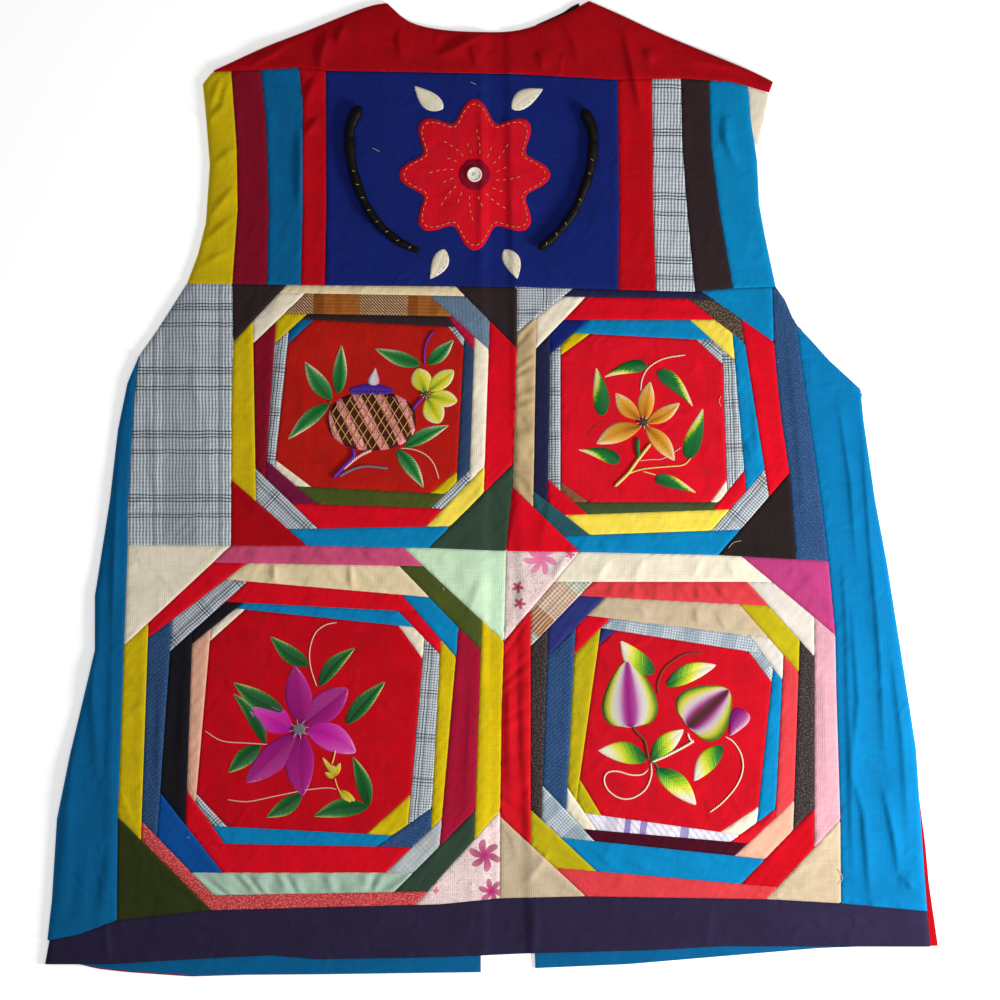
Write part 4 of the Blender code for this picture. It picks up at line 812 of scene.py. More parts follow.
# Creases that washing and folding left in the blocks.
BLOCK_FOLDS = (
    (((72.0, 97.0), (172.0, 87.8)), 0.9, 0.55), (((74.0, 94.4), (170.0, 85.4)), 0.9, 0.5),
    (((-153.0, 288.7), (-151.9, 274.4)), 1.0, 1.2), (((-99.1, 288.0), (-98.3, 269.8)), 1.0, 1.2),
    (((-23.5, 288.4), (-17.3, 268.7)), 3.2, 0.75), (((-6.6, 281.2), (-16.4, 252.6)), 3.6, 1.05),
    (((-38.7, 291.9), (-26.2, 283.0)), 2.6, 0.68), (((-242.3, 293.7), (-210.1, 254.4)), 4, 0.38),
    (((25.6, 65.1), (40.9, 87.9)), 2.4, 1.27), (((11.9, 101.7), (20.0, 79.2)), 3, 0.6),
    (((209.6, 69.6), (240.2, 87.3)), 3, 0.83), (((211.2, 59.9), (241.8, 72.8)), 3.4, 0.75),
    (((224.1, 92.1), (238.5, 100.1)), 2.4, 0.68), (((73.0, 276.9), (82.7, 291.4)), 3.2, 0.9),
    (((98.7, 276.1), (106.8, 291.4)), 3.4, 0.75), (((140.5, 276.9), (146.9, 291.4)), 3.6, 0.75),
    (((164.6, 291.4), (171.0, 276.9)), 3.4, 0.68), (((98.7, 274.5), (99.7, 263.2)), 2.6, 0.9),
    (((114.8, 274.0), (115.4, 262.4)), 2.6, 0.98), (((129.3, 274.0), (130.2, 261.8)), 2.6, 0.83),
    (((143.7, 273.7), (144.4, 261.8)), 2.8, 0.9), (((159.8, 273.4), (160.4, 261.5)), 2.6, 0.75),
    (((142.4, 257.9), (144.4, 244.8)), 2.6, 0.98), (((156.6, 255.2), (164.6, 241.2)), 2.8, 0.9),
    (((101.9, 260.8), (108.4, 248.0)), 2.8, 0.6), (((71.4, 87.3), (85.9, 76.0)), 3.6, 0.75),
    (((92.3, 82.4), (118.0, 69.6)), 3.6, 0.68), (((79.4, 92.1), (146.9, 77.6)), 3.0, 0.6),
    (((26.4, 276.9), (11.9, 248.0)), 3.0, 0.75), (((50.5, 291.4), (42.5, 275.3)), 2.8, 0.83),
    (((230.5, 284.9), (204.8, 259.2)), 3.6, 0.45), (((-12.1, 338.7), (5.3, 325.3)), 3.2, 0.75),
    (((-22.8, 311.9), (-2.7, 332.0)), 3.4, 0.68), (((2.7, 340.0), (10.7, 322.6)), 2.6, 0.68),
    (((-146.0, 475.3), (-158.1, 457.9)), 2.6, 0.6), (((-96.5, 482.0), (-93.8, 475.3)), 3, 0.45),
    (((-56.3, 480.6), (-42.9, 475.3)), 3, 0.45), (((-132.6, 423.0), (-131.3, 369.5)), 2.4, 0.38),
    (((-115.2, 342.7), (-69.7, 345.4)), 2.4, 0.38), (((-42.9, 449.8), (-26.8, 444.5)), 2.6, 0.38),
    (((178.3, 376.2), (183.4, 356.1)), 2.4, 1.12), (((183.4, 397.6), (186.1, 354.7)), 2.2, 0.75),
    (((167.3, 415.0), (175.4, 369.5)), 2.2, 0.52), (((16.0, 404.3), (28.0, 397.6)), 2.2, 1.05),
    (((16.3, 396.3), (26.7, 388.2)), 2.2, 0.83), (((16.3, 376.2), (28.0, 372.1)), 2.4, 0.98),
    (((17.3, 366.8), (25.4, 361.4)), 2.2, 0.75), (((18.7, 432.4), (28.0, 427.1)), 2.4, 0.75),
    (((41.4, 332.0), (33.4, 299.8)), 3.2, 0.68), (((17.3, 336.0), (13.3, 302.5)), 3.0, 0.75),
    (((36.1, 473.9), (24.0, 445.8)), 3.0, 0.6), (((187.4, 476.6), (195.5, 449.8)), 3.4, 0.38),
    (((89.7, 305.2), (103.0, 295.8)), 3.4, 0.6), (((76.3, 303.8), (81.6, 295.8)), 3.0, 0.6),
    (((-240.5, 193.7), (-253.0, 183.0)), 2.6, 0.6), (((-249.4, 102.6), (-260.1, 129.4)), 2.8, 0.68),
    (((-231.6, 208.0), (-233.3, 129.4)), 3.0, 0.68), (((-215.5, 218.7), (-219.1, 129.4)), 3.4, 0.6),
    (((-13.7, 208.0), (-19.1, 102.6)), 3.4, 0.6), (((-1.2, 218.7), (-3.0, 111.6)), 3.2, 0.68),
    (((11.3, 208.0), (10.4, 129.4)), 3.0, 0.83), (((11.9, 228.7), (13.5, 116.2)), 3.2, 0.83),
    (((20.0, 220.6), (21.6, 132.3)), 3.0, 0.75), (((232.1, 233.5), (233.7, 116.2)), 3.4, 0.52),
)
# Strips that are puckered by their seams: how many waves there are, and how high.
GATHERS = {
    ("lower_left", "s", 3): (9, 0.9), ("lower_left", "n", 3): (3, 0.3),
    ("upper_right", "w", 3): (9, 0.7), ("lower_right", "w", 4): (7, 0.5),
    ("lower_left", "n", 4): (5, 0.35), ("lower_right", "n", 3): (6, 0.5),
}


def strip_edge(block, side, ring):
    """The outer edge of a side's strip, as a point on it and its direction."""
    _, far, turn = block[side][ring]
    bearing, facing = math.radians(BEARINGS[side]), math.radians(BEARINGS[side] + turn)
    point = np.array(block["middle"]) + far * np.array([math.cos(bearing), math.sin(bearing)])
    return point, np.array([-math.sin(facing), math.cos(facing)])


def crossing(a, b):
    """Where two edges cross."""
    (p, d), (q, e) = a, b
    t = np.linalg.solve(np.stack([d, -e], 1), q - p)
    return tuple(p + d * t[0])


def edge_meets(edge, line):
    """Where a straight edge crosses a line of points, nearest to the edge's own point."""
    point, way = edge
    found = []
    for a, b in zip(line, line[1:]):
        a, b = np.array(a), np.array(b)
        span = b - a
        cross = way[0] * span[1] - way[1] * span[0]
        if abs(cross) > 1e-9:
            t = ((a - point)[0] * span[1] - (a - point)[1] * span[0]) / cross
            s = ((a - point)[0] * way[1] - (a - point)[1] * way[0]) / cross
            if -0.02 <= s <= 1.02:
                found.append((abs(t), tuple(point + way * t)))
    return min(found)[1]


def between(line, start, end):
    """The stretch of a line of points from one place on it to another."""
    a, b = (float(distance_to(line, np.array(p[0]), np.array(p[1]))[1]) for p in (start, end))
    p = np.array(line, float)
    run = np.concatenate([[0], np.cumsum(np.hypot(*np.diff(p, axis=0).T))])
    shares = run / run[-1]
    inner = [tuple(q) for q, s in zip(line, shares) if min(a, b) + 0.004 < s < max(a, b) - 0.004]
    return [start] + (inner if a < b else inner[::-1]) + [end]


for block_name, block in BLOCKS.items():
    low, high, left, right = trimmed(*block["seams"])
    # The block's four edges, each running clockwise as its own side's strips do.
    rim = {"n": high, "e": right[::-1], "s": low[::-1], "w": left}
    rounds = block["rounds"]
    m = {}  # the edges of the centre
    for place, (side, slot) in enumerate(zip(BEARINGS, SLOTS[block_name].split())):
        before, after = ROUND_THE_BLOCK[(place + 1) % 8], ROUND_THE_BLOCK[place - 1]
        slanted = len(side) == 2
        strips = []
        for ring in range(1, rounds + 1 + slanted):
            finish = block[side][ring][0]
            last = ring == rounds + slanted
            inner_edge = strip_edge(block, side, ring - 1)
            if not slanted:
                ends = [strip_edge(block, s, ring) for s in (before, after)]
                inner = [crossing(inner_edge, end) for end in ends]
                if last:
                    outer = between(rim[side], *(edge_meets(end, rim[side]) for end in ends))
                else:
                    outer = [crossing(strip_edge(block, side, ring), end) for end in ends]
            elif not last:
                ends = [strip_edge(block, s, ring - 1) for s in (before, after)]
                inner = [crossing(inner_edge, end) for end in ends]
                outer = [crossing(strip_edge(block, side, ring), end) for end in ends]
            else:
                inner = [edge_meets(inner_edge, rim[s]) for s in (before, after)]
                first, second = rim[before], rim[after]
                outer = (between(first, inner[0], first[-1])
                         + between(second, second[0], inner[1])[1:])
            lift = None
            gather = GATHERS.get((block_name, side, ring))
            if gather:
                def lift(x, y, u, v, count=gather[0], rise=gather[1]):
                    wave = np.sin(u * math.pi * 2 * count + 2.2 * np.sin(u * 9)
                                  + 1.3 * np.sin(v * 3 + u * 31))
                    return rise * (wave - 0.2) * np.sin(math.pi * v) ** 0.5
            strips.append(cloth(f"{block_name}_{side}_{ring}", inner, outer,
                                [inner[0], outer[0]], [inner[-1], outer[-1]], finish,
                                (), ("low",), BLOCK_FOLDS, lift,
                                own_uv=not (slanted and last)))
        stack = joined(f"{block_name}_{side}_strips", strips)
        sewn_in(stack, f"{block_name}_{side}")
        m[side] = [crossing(strip_edge(block, side, 0), strip_edge(block, s, 0))
                   for s in (before, after)]
    centre = cloth(f"{block_name}_centre_cloth", m["s"][::-1], m["n"],
                   m["sw"] + m["w"][1:] + m["nw"][1:], m["se"][::-1] + m["e"][::-1][1:]
                   + m["ne"][::-1][1:], block["n"][0][0], (), (), folds=BLOCK_FOLDS, own_uv=False)
    sewn_in(centre, f"{block_name}_centre")

# The side pieces
# A plaid panel under the left armhole, a denim wedge under the right one, and two long
# turquoise side panels that have many soft upright wrinkles.

SIDE_LEFT = ((-246.5, 434.0), (-254.9, 414.4), (-261.6, 381.5), (-267.2, 332.5),
             (-277.7, 265.3), (-277.7, 227.5), (-295.2, 154.0), (-304.3, 109.2),
             (-307.8, 52.5), (-313.0, 7.0))
SIDE_RIGHT = ((258.1, 410.2), (260.2, 388.5), (268.3, 332.5), (276.7, 287.7),
              (287.2, 221.2), (297.0, 158.2), (302.6, 73.5), (304.7, 44.8), (306.8, 19.0))
SIDE_PANEL_TOP = ((205, 460.5), (212.4, 455.5), (222, 446), (236, 430.4), (256.5, 411.5),
                  (262, 405))
SIDE_FOLDS = (
    (((-277.7, 290.5), (-279.8, 192.5), (-274.2, 122.5)), 3.2, 1.35),
    (((-267.2, 87.5), (-274.2, 42.0), (-275.6, 31.5)), 2.6, 1.35),
    (((-291.7, 192.5), (-298.0, 108.5), (-302.2, 42.0)), 3.2, 1.35),
    (((-265.8, 234.5), (-267.2, 150.5), (-268.6, 52.5)), 2.4, 1.08),
    (((-285.4, 80.5), (-288.2, 52.5), (-289.6, 35.0)), 2.4, 0.99),
    (((-261.6, 353.5), (-263.7, 304.5), (-265.8, 234.5)), 2.4, 1.17),
    (((251.5, 262.5), (256.4, 192.5), (251.5, 142.1)), 3.0, 1.35),
    (((251.5, 142.1), (259.9, 114.1), (264.8, 53.9)), 2.8, 1.8),
    (((273.2, 133.7), (280.9, 99.4), (285.1, 69.3)), 2.6, 1.8),
    (((285.1, 69.3), (291.4, 65.1), (294.9, 59.5)), 2.4, 1.44),
    (((266.2, 290.5), (271.8, 220.5), (274.6, 150.5)), 3.2, 1.53),
    (((248.0, 220.5), (250.8, 150.5), (252.2, 66.5)), 2.4, 1.26),
    (((259.2, 381.5), (263.4, 318.5), (267.6, 262.5)), 2.6, 1.26),
    (((242.4, 402.5), (250.8, 346.5), (255.0, 290.5)), 2.6, 1.17),
    (((278.8, 234.5), (287.2, 164.5), (291.4, 94.5)), 2.8, 1.35),
    (((236.8, 451.5), (247.3, 430.5), (255.0, 408.1)), 2.4, 0.99),
    (((264.8, 52.5), (267.6, 45.5), (270.4, 42.0)), 3.0, 0.99),
    (((245.2, 290.5), (248.0, 248.5), (249.4, 192.5)), 2.2, 0.9),
    (((-240, 420), (-236, 330)), 3.0, 0.8), (((-200, 400), (-196, 320)), 3.0, 0.7),
    (((-230, 440), (-200, 420)), 3.0, 0.7), (((206, 450), (214, 380), (220, 310)), 3.0, 0.9),
)


PLAID_TURNED_ABOVE, WEDGE_TURNED_ABOVE = 434, 458


def armhole_above(line, height):
    """How much of a side is turned in at the armhole, for shares of the side's length."""
    return lambda shares: 1 / (1 + np.exp((height - at_shares(line, shares)[..., 1]) / 0.6))


plaid_left = list(SIDE_PLAID_SEAM) + sorted(ARMHOLE_LEFT[6:-1], key=lambda p: p[1])
seams = trimmed(MIDDLE_SEAM, UPPER_SEAM, plaid_left, PLAID_BLOCK_SEAM)
plaid_panel = cloth("plaid_panel_cloth", *seams, plaid,
                    {"left": armhole_above(seams[2], PLAID_TURNED_ABOVE)}, (), SIDE_FOLDS, own_uv=False)
sewn_in(plaid_panel, "plaid_panel")

wedge_right = list(WEDGE_SIDE_SEAM) + sorted(ARMHOLE_RIGHT[5:8], key=lambda p: p[1])
seams = trimmed(MIDDLE_SEAM, UPPER_SEAM, BLOCK_WEDGE_SEAM, wedge_right)
wedge = cloth("denim_wedge_cloth", *seams, denim,
              {"right": armhole_above(seams[3], WEDGE_TURNED_ABOVE)}, (), SIDE_FOLDS,
              own_uv=False)
sewn_in(wedge, "denim_wedge")

# The upper end of the left side panel, at the armhole.
LEFT_TIP = ((-249.0, 433.2), (-240.0, 433.2))
side_left = cloth("side_panel_left_cloth", *trimmed(HEM_SEAM, LEFT_TIP, SIDE_LEFT,
                  SIDE_PLAID_SEAM), turquoise, ("left",), (), SIDE_FOLDS, own_uv=False)
sewn_in(side_left, "side_panel_left")
# Clear, soft turquoise, lighter than the left side's partly in dye and partly as painted light.
lit_right_turquoise = woven("bright turquoise cotton", "#026FA5")
side_right = cloth("side_panel_right_cloth", *trimmed(HEM_SEAM, SIDE_PANEL_TOP,
                   WEDGE_SIDE_SEAM, ARMHOLE_RIGHT[-1:] + SIDE_RIGHT[1:]), lit_right_turquoise,
                   ("right", "high"), (), SIDE_FOLDS, own_uv=False)
sewn_in(side_right, "side_panel_right")

# The hem band
# A band of dark navy cotton twill along the lower edge, sewn over the blocks and the side
# panels and turned under at both ends.

EDGE_SEAM = ((-310.6, 7.7), (-267.2, 7.7), (-211.2, 11.2), (-154.5, 14.0), (-120.9, 11.2),
             (-36.2, 12.6), (28.2, 15.4), (110.8, 17.5), (161.9, 20.3), (306.8, 19.9))
HEM_FOLDS = (
    (((-268, 8), (-270, 40)), 2.4, 1.0), (((30, 14), (31, 54)), 2.4, 0.8),
    (((150, 18), (154, 54)), 5, 0.7),
)
# Navy twill: the darkest cloth, with a fine slanting rib.
hem_twill = woven("dark navy twill", "#27203A", twill=True, pitch=1.0, relief=0.12)
hem = cloth("hem_band_cloth", *trimmed(EDGE_SEAM, HEM_SEAM, ((-312.6, 7.7), (-309.5, 24.5)),
            ((307.2, 19.9), (304.7, 44.8))), hem_twill, ("left", "right"), ("high",), HEM_FOLDS,
            own_uv=False)
sewn_in(hem, "hem_band")

# The fronts under the back
# Each front is a red outer cloth with a turquoise lining, and lies open under the back. The
# linings show below the hem, and a turned red edge shows at the lower right.

FRONT_LEVEL, LINING_LEVEL = 0.95, 2.25
FRONT_THICK, FRONT_SEAM, FRONT_SPACING = 0.9, 0.25, 5
LONGER = (-280, -205)  # here the left front's red cloth hangs a little below its lining
FRONT_NECK_LEFT = ((-73.3, 674.0), (-56.0, 645.0), (-30.0, 618.0), (-7.9, 607.0))
FRONT_NECK_RIGHT = ((14.3, 607.0), (26.0, 636.0), (52.0, 668.0), (68.1, 675.0))
HEM_LEFT = ((-300, 9.5), (-276.3, 5.5), (-254.6, 3.0), (-210.5, 0.0), (-120.9, 0.6), (-7.6, 2.1))
HEM_RIGHT = ((30.5, 4.9), (95.4, 7.7), (161.9, 13.3), (229.1, 18.9), (298.0, 21.5))
TURNED_EDGE = ((312.4, 20.4), (306.0, 64.4), (303.6, 91.0), (294.0, 165.0))


def moved_in(line, inset):
    """A line moved to its right by a distance."""
    p = np.array(line, float)
    way = np.gradient(p, axis=0)
    way /= np.hypot(*way.T)[:, None]
    return [tuple(q) for q in p + inset * np.stack([way[:, 1], -way[:, 0]], 1)]


# Lining cotton: plain turquoise in the shade of the back.
lining_blue = woven("turquoise lining", "#045A8A")
FRONT_CLOTHS = (
    {"name": "front", "slot": "red", "finish": red, "level": FRONT_LEVEL, "inset": 6.0},
    {"name": "front_lining", "slot": "turquoise", "finish": lining_blue,
     "level": LINING_LEVEL, "inset": 8.0},
)
for row in FRONT_CLOTHS:
    inset, outer = row["inset"], row["name"] == "front"
    side = moved_in(sorted(SIDE_LEFT[1:-1] + ARMHOLE_LEFT[1:], key=lambda p: p[1]), inset)
    shoulder = moved_in(SHOULDER_LEFT[1:-1], 5)
    low = [(x, y + outer * (-1.0 if LONGER[0] < x < LONGER[1] else 1.1)) for x, y in HEM_LEFT]
    left = cloth(f"{row['name']}_left_cloth", low,
                 [side[-1]] + shoulder + list(FRONT_NECK_LEFT),
                 [low[0]] + side, [low[-1], (FRONT_NECK_LEFT[-1])], row["finish"], (), (),
                 own_uv=False, depth=FRONT_SEAM, level=row["level"], thick=FRONT_THICK,
                 spacing=FRONT_SPACING)
    sewn_in(left, f"{row['name']}_left")
    if outer:
        side = list(TURNED_EDGE)
        side += moved_in(sorted(SIDE_RIGHT[1:5] + ARMHOLE_RIGHT[1:], key=lambda p: p[1]), -inset)
    else:
        side = moved_in(sorted(SIDE_RIGHT[1:-1] + ARMHOLE_RIGHT[1:], key=lambda p: p[1]), -inset)
        side = [HEM_RIGHT[-1]] + side
    shoulder = moved_in(SHOULDER_RIGHT[1:-1], 5)
    low = [(x, y + 1.1 * outer) for x, y in HEM_RIGHT[:-1]] + [side[0]]
    right = cloth(f"{row['name']}_right_cloth", low,
                  list(FRONT_NECK_RIGHT) + shoulder + [side[-1]],
                  [low[0], FRONT_NECK_RIGHT[0]], side, row["finish"], (), (),
                  own_uv=False, depth=FRONT_SEAM, level=row["level"], thick=FRONT_THICK,
                 spacing=FRONT_SPACING)
    sewn_in(right, f"{row['name']}_right")

# The cream patch at the right armhole
# The edge of the right front is faced with cream cotton, stitched down on its inside. A sliver
# of it shows past the back at the armhole.

PATCH_LEVEL = 2.3  # between the linings and the back
patch = cloth("armhole_patch_cloth", [(180.5, 590.0), (185.8, 580.5)],
              [(180.2, 621.5), (193.8, 616.5)], [(180.5, 590.0), (180.2, 621.5)],
              [(185.8, 580.5), (190.4, 598.5), (193.8, 616.5)], cream, (), (), own_uv=False,
              depth=0.4, level=PATCH_LEVEL, thick=1.0)
sewn_in(patch, "armhole_patch_right")

# The dark sliver at the neck
# A narrow near-black strip that lies at the right front's neck, under the back. A sliver of it
# shows past the back's neck edge.

# Almost black, with a faint red.
dark_neck_sliver_cloth = woven("dark red facing", "#2E0A12")
facing = cloth("neck_facing", [(36.0, 656.0), (52.0, 663.0), (63.0, 669.0)],
               [(31.0, 665.0), (40.0, 669.0), (50.0, 673.6), (56.0, 677.8), (61.0, 680.2)],
               [(36.0, 656.0), (31.0, 665.0)], [(63.0, 669.0), (61.0, 680.2)], dark_neck_sliver_cloth,
               (), (), depth=0.2, level=PATCH_LEVEL)
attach(facing, "root")

# The applique on the panel
# A red rosette with eight petals, cut out and stitched down flat, and two stuffed black cords
# couched on each side of it.

ROSETTE = {"middle": (-12, 560), "radius": 46, "wave": 7, "petals": 8}
APPLIQUE_OVER, APPLIQUE_THICK = 1.1, 0.5
PUFF = 0.9


def petalled(start, end):
    """The rosette's edge from one bearing to another, in degrees."""
    cx, cy = ROSETTE["middle"]
    turns = np.radians(np.linspace(start, end, 46))
    r = ROSETTE["radius"] + ROSETTE["wave"] * np.cos(ROSETTE["petals"] * turns)
    return [tuple(p) for p in np.stack([cx + r * np.cos(turns), cy + r * np.sin(turns)], 1)]


rosette = cloth("rosette_cloth", petalled(-135, -45), petalled(135, 45), petalled(225, 135),
                petalled(-45, 45), bright_red, (), (), PANEL_FOLDS, None, False, PUFF,
                APPLIQUE_OVER, thick=APPLIQUE_THICK)
sewn_in(rosette, "rosette")

CORDS = {
    "left": ((-92, 608), (-99, 590), (-96, 560), (-84, 532), (-66, 514), (-50, 506)),
    "right": ((64, 606), (71, 588), (68, 560), (57, 533), (41, 514), (32, 508)),
}
CORD_RADIUS, CORD_HEIGHT = 3.3, 8.0
CORD_START, CORD_TAPER = 1.22, 0.42  # its share of that radius at its upper end, and what it loses
PINCH, PINCH_APART = 0.16, 7.5


def outward():
    """Turns all faces of the active piece outward and shades it smooth."""
    bpy.ops.object.mode_set(mode="EDIT")
    bpy.ops.mesh.select_all(action="SELECT")
    bpy.ops.mesh.normals_make_consistent(inside=False)
    bpy.ops.object.mode_set(mode="OBJECT")
    bpy.ops.object.shade_smooth()


def tube(name, points, radius_at, height_at, finish, sides=14):
    """A round cord along a line of points, closed at its ends. Its radius and the height of its
    middle come from how far along it a place is, in mm, and from the place."""
    route = np.array(points, float)
    run = np.concatenate([[0], np.cumsum(np.hypot(*np.diff(route, axis=0).T))])
    way = np.gradient(route, axis=0)
    way /= np.maximum(np.hypot(*way.T), 1e-9)[:, None]
    radius, height = radius_at(run), height_at(route[:, 0], route[:, 1])
    bpy.ops.object.select_all(action="DESELECT")
    bpy.ops.mesh.primitive_cylinder_add(vertices=sides, radius=1, depth=1, end_fill_type="NGON")
    cord = bpy.context.object
    cord.name = name
    bpy.ops.object.mode_set(mode="EDIT")
    bpy.ops.mesh.select_mode(type="EDGE")
    bpy.ops.mesh.select_all(action="DESELECT")
    bpy.ops.object.mode_set(mode="OBJECT")
    for edge in cord.data.edges:
        a, b = (cord.data.vertices[k].co.z for k in edge.vertices)
        edge.select = abs(a - b) > 0.5
    bpy.ops.object.mode_set(mode="EDIT")
    bpy.ops.mesh.subdivide(number_cuts=len(route) - 2)
    bpy.ops.object.mode_set(mode="OBJECT")
    start = np.array([v.co[:] for v in cord.data.vertices])
    k = ((start[:, 2] + 0.5) * (len(route) - 1)).round().astype(int)
    aside = start[:, 0] * radius[k]
    placed = np.stack([(route[k, 0] + aside * way[k, 1] - MIDDLE[0]) * MM,
                       (route[k, 1] - aside * way[k, 0] - MIDDLE[1]) * MM,
                       (height[k] + start[:, 1] * radius[k]) * MM], 1)
    cord.data.vertices.foreach_set("co", placed.ravel())
    spots = np.stack([run[k], np.arctan2(start[:, 1], start[:, 0]) * radius.max()], 1)
    corner = np.empty(len(cord.data.loops), int)
    cord.data.loops.foreach_get("vertex_index", corner)
    cord.data.uv_layers[0].data.foreach_set("uv", spots[corner].ravel())
    outward()
    cord.data.materials.append(finish)
    return cord


def rounded(run, full, ends=8):
    """The radius of a cord that is closed at both ends."""
    return full * np.sqrt(np.clip(1 - np.abs(2 * run / run[-1] - 1) ** ends, 0.004, 1))


# Black satin over stuffing: it has soft highlights along the cord.
black_satin = woven("black satin", "#0E0C0B", pitch=1.2, rough=0.42, sheen=0.0, crumple=1.4)
for side, points in CORDS.items():
    # Each stitch that holds a cord down pinches it a little.
    cord = tube(f"cord_{side}_stuffed", smooth(points, 1.4),
                lambda run: rounded(run, CORD_RADIUS, 26)
                * (CORD_START - CORD_TAPER * run / run[-1])
                * (1 - PINCH * np.abs(np.cos(run / PINCH_APART)) ** 16
                   + 0.05 * np.sin(run / 4 + 1)),
                lambda x, y: CORD_HEIGHT + 0 * x, black_satin)
    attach(cord, "root")
    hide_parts(f"cord_{side}")

EVERY_FOLD = PANEL_FOLDS + BLOCK_FOLDS  # what lies on the back follows them
LEAF_STITCH_IN = 0.16  # how far in from a leaf's edge its stitches run, as a share of its width
# Each leaf's row: its base, its tip and how wide it is.
ROSETTE_LEAVES = (
    ((-34, 606), (-54, 622), 13), ((14, 606), (36, 620), 13),
    ((-33, 508), (-43, 487), 12), ((9, 508), (18, 487), 12),
)


def leaf_sides(base, tip, wide, bend=0.0, belly=0.75, blunt=0.0):
    """The two edges of a leaf or petal, from its base to its tip. It bends to its left, and is
    widest nearer to its base the smaller belly is. Below 0.75 its tip draws out long."""
    base, tip = np.array(base, float), np.array(tip, float)
    run = tip - base
    aside = np.array([-run[1], run[0]]) / np.hypot(*run)
    t = np.linspace(0, 1, 25)[:, None]
    middle = base + run * t + aside * bend * np.sin(math.pi * t)
    half = wide / 2 * np.sin(math.pi * t**belly) ** (0.9 - 0.4 * blunt)
    half = half * (1 - 4 * max(0.0, 0.75 - belly) * t**1.5)
    return ([tuple(q) for q in middle - aside * half], [tuple(q) for q in middle + aside * half])


def stitches(name, line, finish, long=2.6, gap=1.5, wide=0.55, over=1.2, slant=0.0):
    """Running stitches along a line, each a short raised thread, made once and copied."""
    count = max(1, int(length_of(line) / (long + gap)))
    middles = at_shares(line, (np.arange(count) + 0.5) / count)
    ahead = at_shares(line, np.clip((np.arange(count) + 0.5) / count + 0.004, 0, 1))
    behind = at_shares(line, np.clip((np.arange(count) + 0.5) / count - 0.004, 0, 1))
    turn = np.arctan2(*(ahead - behind).T[::-1]) + slant + 0.12 * np.sin(np.arange(count) * 7.3)
    bpy.ops.object.select_all(action="DESELECT")
    bpy.ops.mesh.primitive_uv_sphere_add(segments=6, ring_count=5, radius=0.5)
    stitch = bpy.context.object
    stitch.name = name
    bpy.ops.object.mode_set(mode="EDIT")
    bpy.ops.mesh.select_all(action="SELECT")
    for _ in range(count - 1):
        bpy.ops.mesh.duplicate()
    bpy.ops.object.mode_set(mode="OBJECT")
    mesh = stitch.data
    co = np.empty(len(mesh.vertices) * 3)
    mesh.vertices.foreach_get("co", co)
    co = co.reshape(count, -1, 3)
    length = long * (1 + 0.15 * np.sin(np.arange(count) * 3.1))
    # The sphere's own up becomes the stitch's length.
    along, aside, up = co[..., 2] * length[:, None], co[..., 0] * wide, co[..., 1] * wide
    x = middles[:, :1] + along * np.cos(turn)[:, None] - aside * np.sin(turn)[:, None]
    y = middles[:, 1:] + along * np.sin(turn)[:, None] + aside * np.cos(turn)[:, None]
    z = TOP + lie(middles[:, 0], middles[:, 1], EVERY_FOLD)[:, None] + over + up
    mesh.vertices.foreach_set("co", np.stack([(x - MIDDLE[0]) * MM, (y - MIDDLE[1]) * MM,
                                              z * MM], -1).ravel())
    mesh.materials.append(finish)
    outward()
    return stitch


def twisted(name, code):
    """Embroidery thread: two plies of dyed cotton, twisted, which catch the light in turns."""
    made, tree, shader = blank_material(name)
    where = add(tree, "ShaderNodeUVMap").outputs["UV"]
    slanted = add(tree, "ShaderNodeMapping", {"Vector": where, "Rotation": (0, 0, 0.7)})
    plies = add(tree, "ShaderNodeTexWave", {"Vector": slanted.outputs["Vector"], "Scale": 0.24,
                "Distortion": 0.6}).outputs["Fac"]
    # Painted light and shade: each ply is lighter at its crest and darker in the groove between.
    tone = add(tree, "ShaderNodeMapRange", {"Value": plies, "To Min": 0.72, "To Max": 1.08})
    tone = tone.outputs["Result"]
    dye(tree, shader, linear(code), tone, plies, 0.25, 0.55, 0.3)
    return made


SATIN_RISE, SATIN_GROOVE, SATIN_THICK = 0.95, 0.3, 0.5


def satin(name, low, high, finish, rise=SATIN_RISE, groove=SATIN_GROOVE):
    """A leaf or petal filled with flat stitches. It is plump, goes down to the cloth all round
    its edge, and has a groove along its middle."""
    low, high = np.array(low), np.array(high)
    columns, rows = max(12, int(length_of(low) / 1.5)), 13
    u, v = np.meshgrid(0.5 - 0.5 * np.cos(np.linspace(0, math.pi, columns)),
                       np.linspace(0, 1, rows))
    flat = at_shares(low, u) * (1 - v[..., None]) + at_shares(high, u) * v[..., None]
    x, y = flat[..., 0], flat[..., 1]
    width = np.hypot(*(at_shares(high, u) - at_shares(low, u)).transpose(2, 0, 1))
    plump = np.sqrt(np.clip(1 - (2 * v - 1) ** 2, 0, 1)) * np.clip(width / 4, 0, 1)
    z = TOP + lie(x, y, EVERY_FOLD) - 0.1 + rise * plump
    z -= groove * np.exp(-(((v - 0.5) * width / 0.8) ** 2)) * np.clip(width / 4, 0, 1)
    return grid_piece(name, (x, y, z), (u * length_of(low), (v - 0.5) * width), (u, v), finish,
                      SATIN_THICK)


def held_by(piece):
    """A piece of sewing that rides on the garment and stands for no solid."""
    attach(piece, "root")


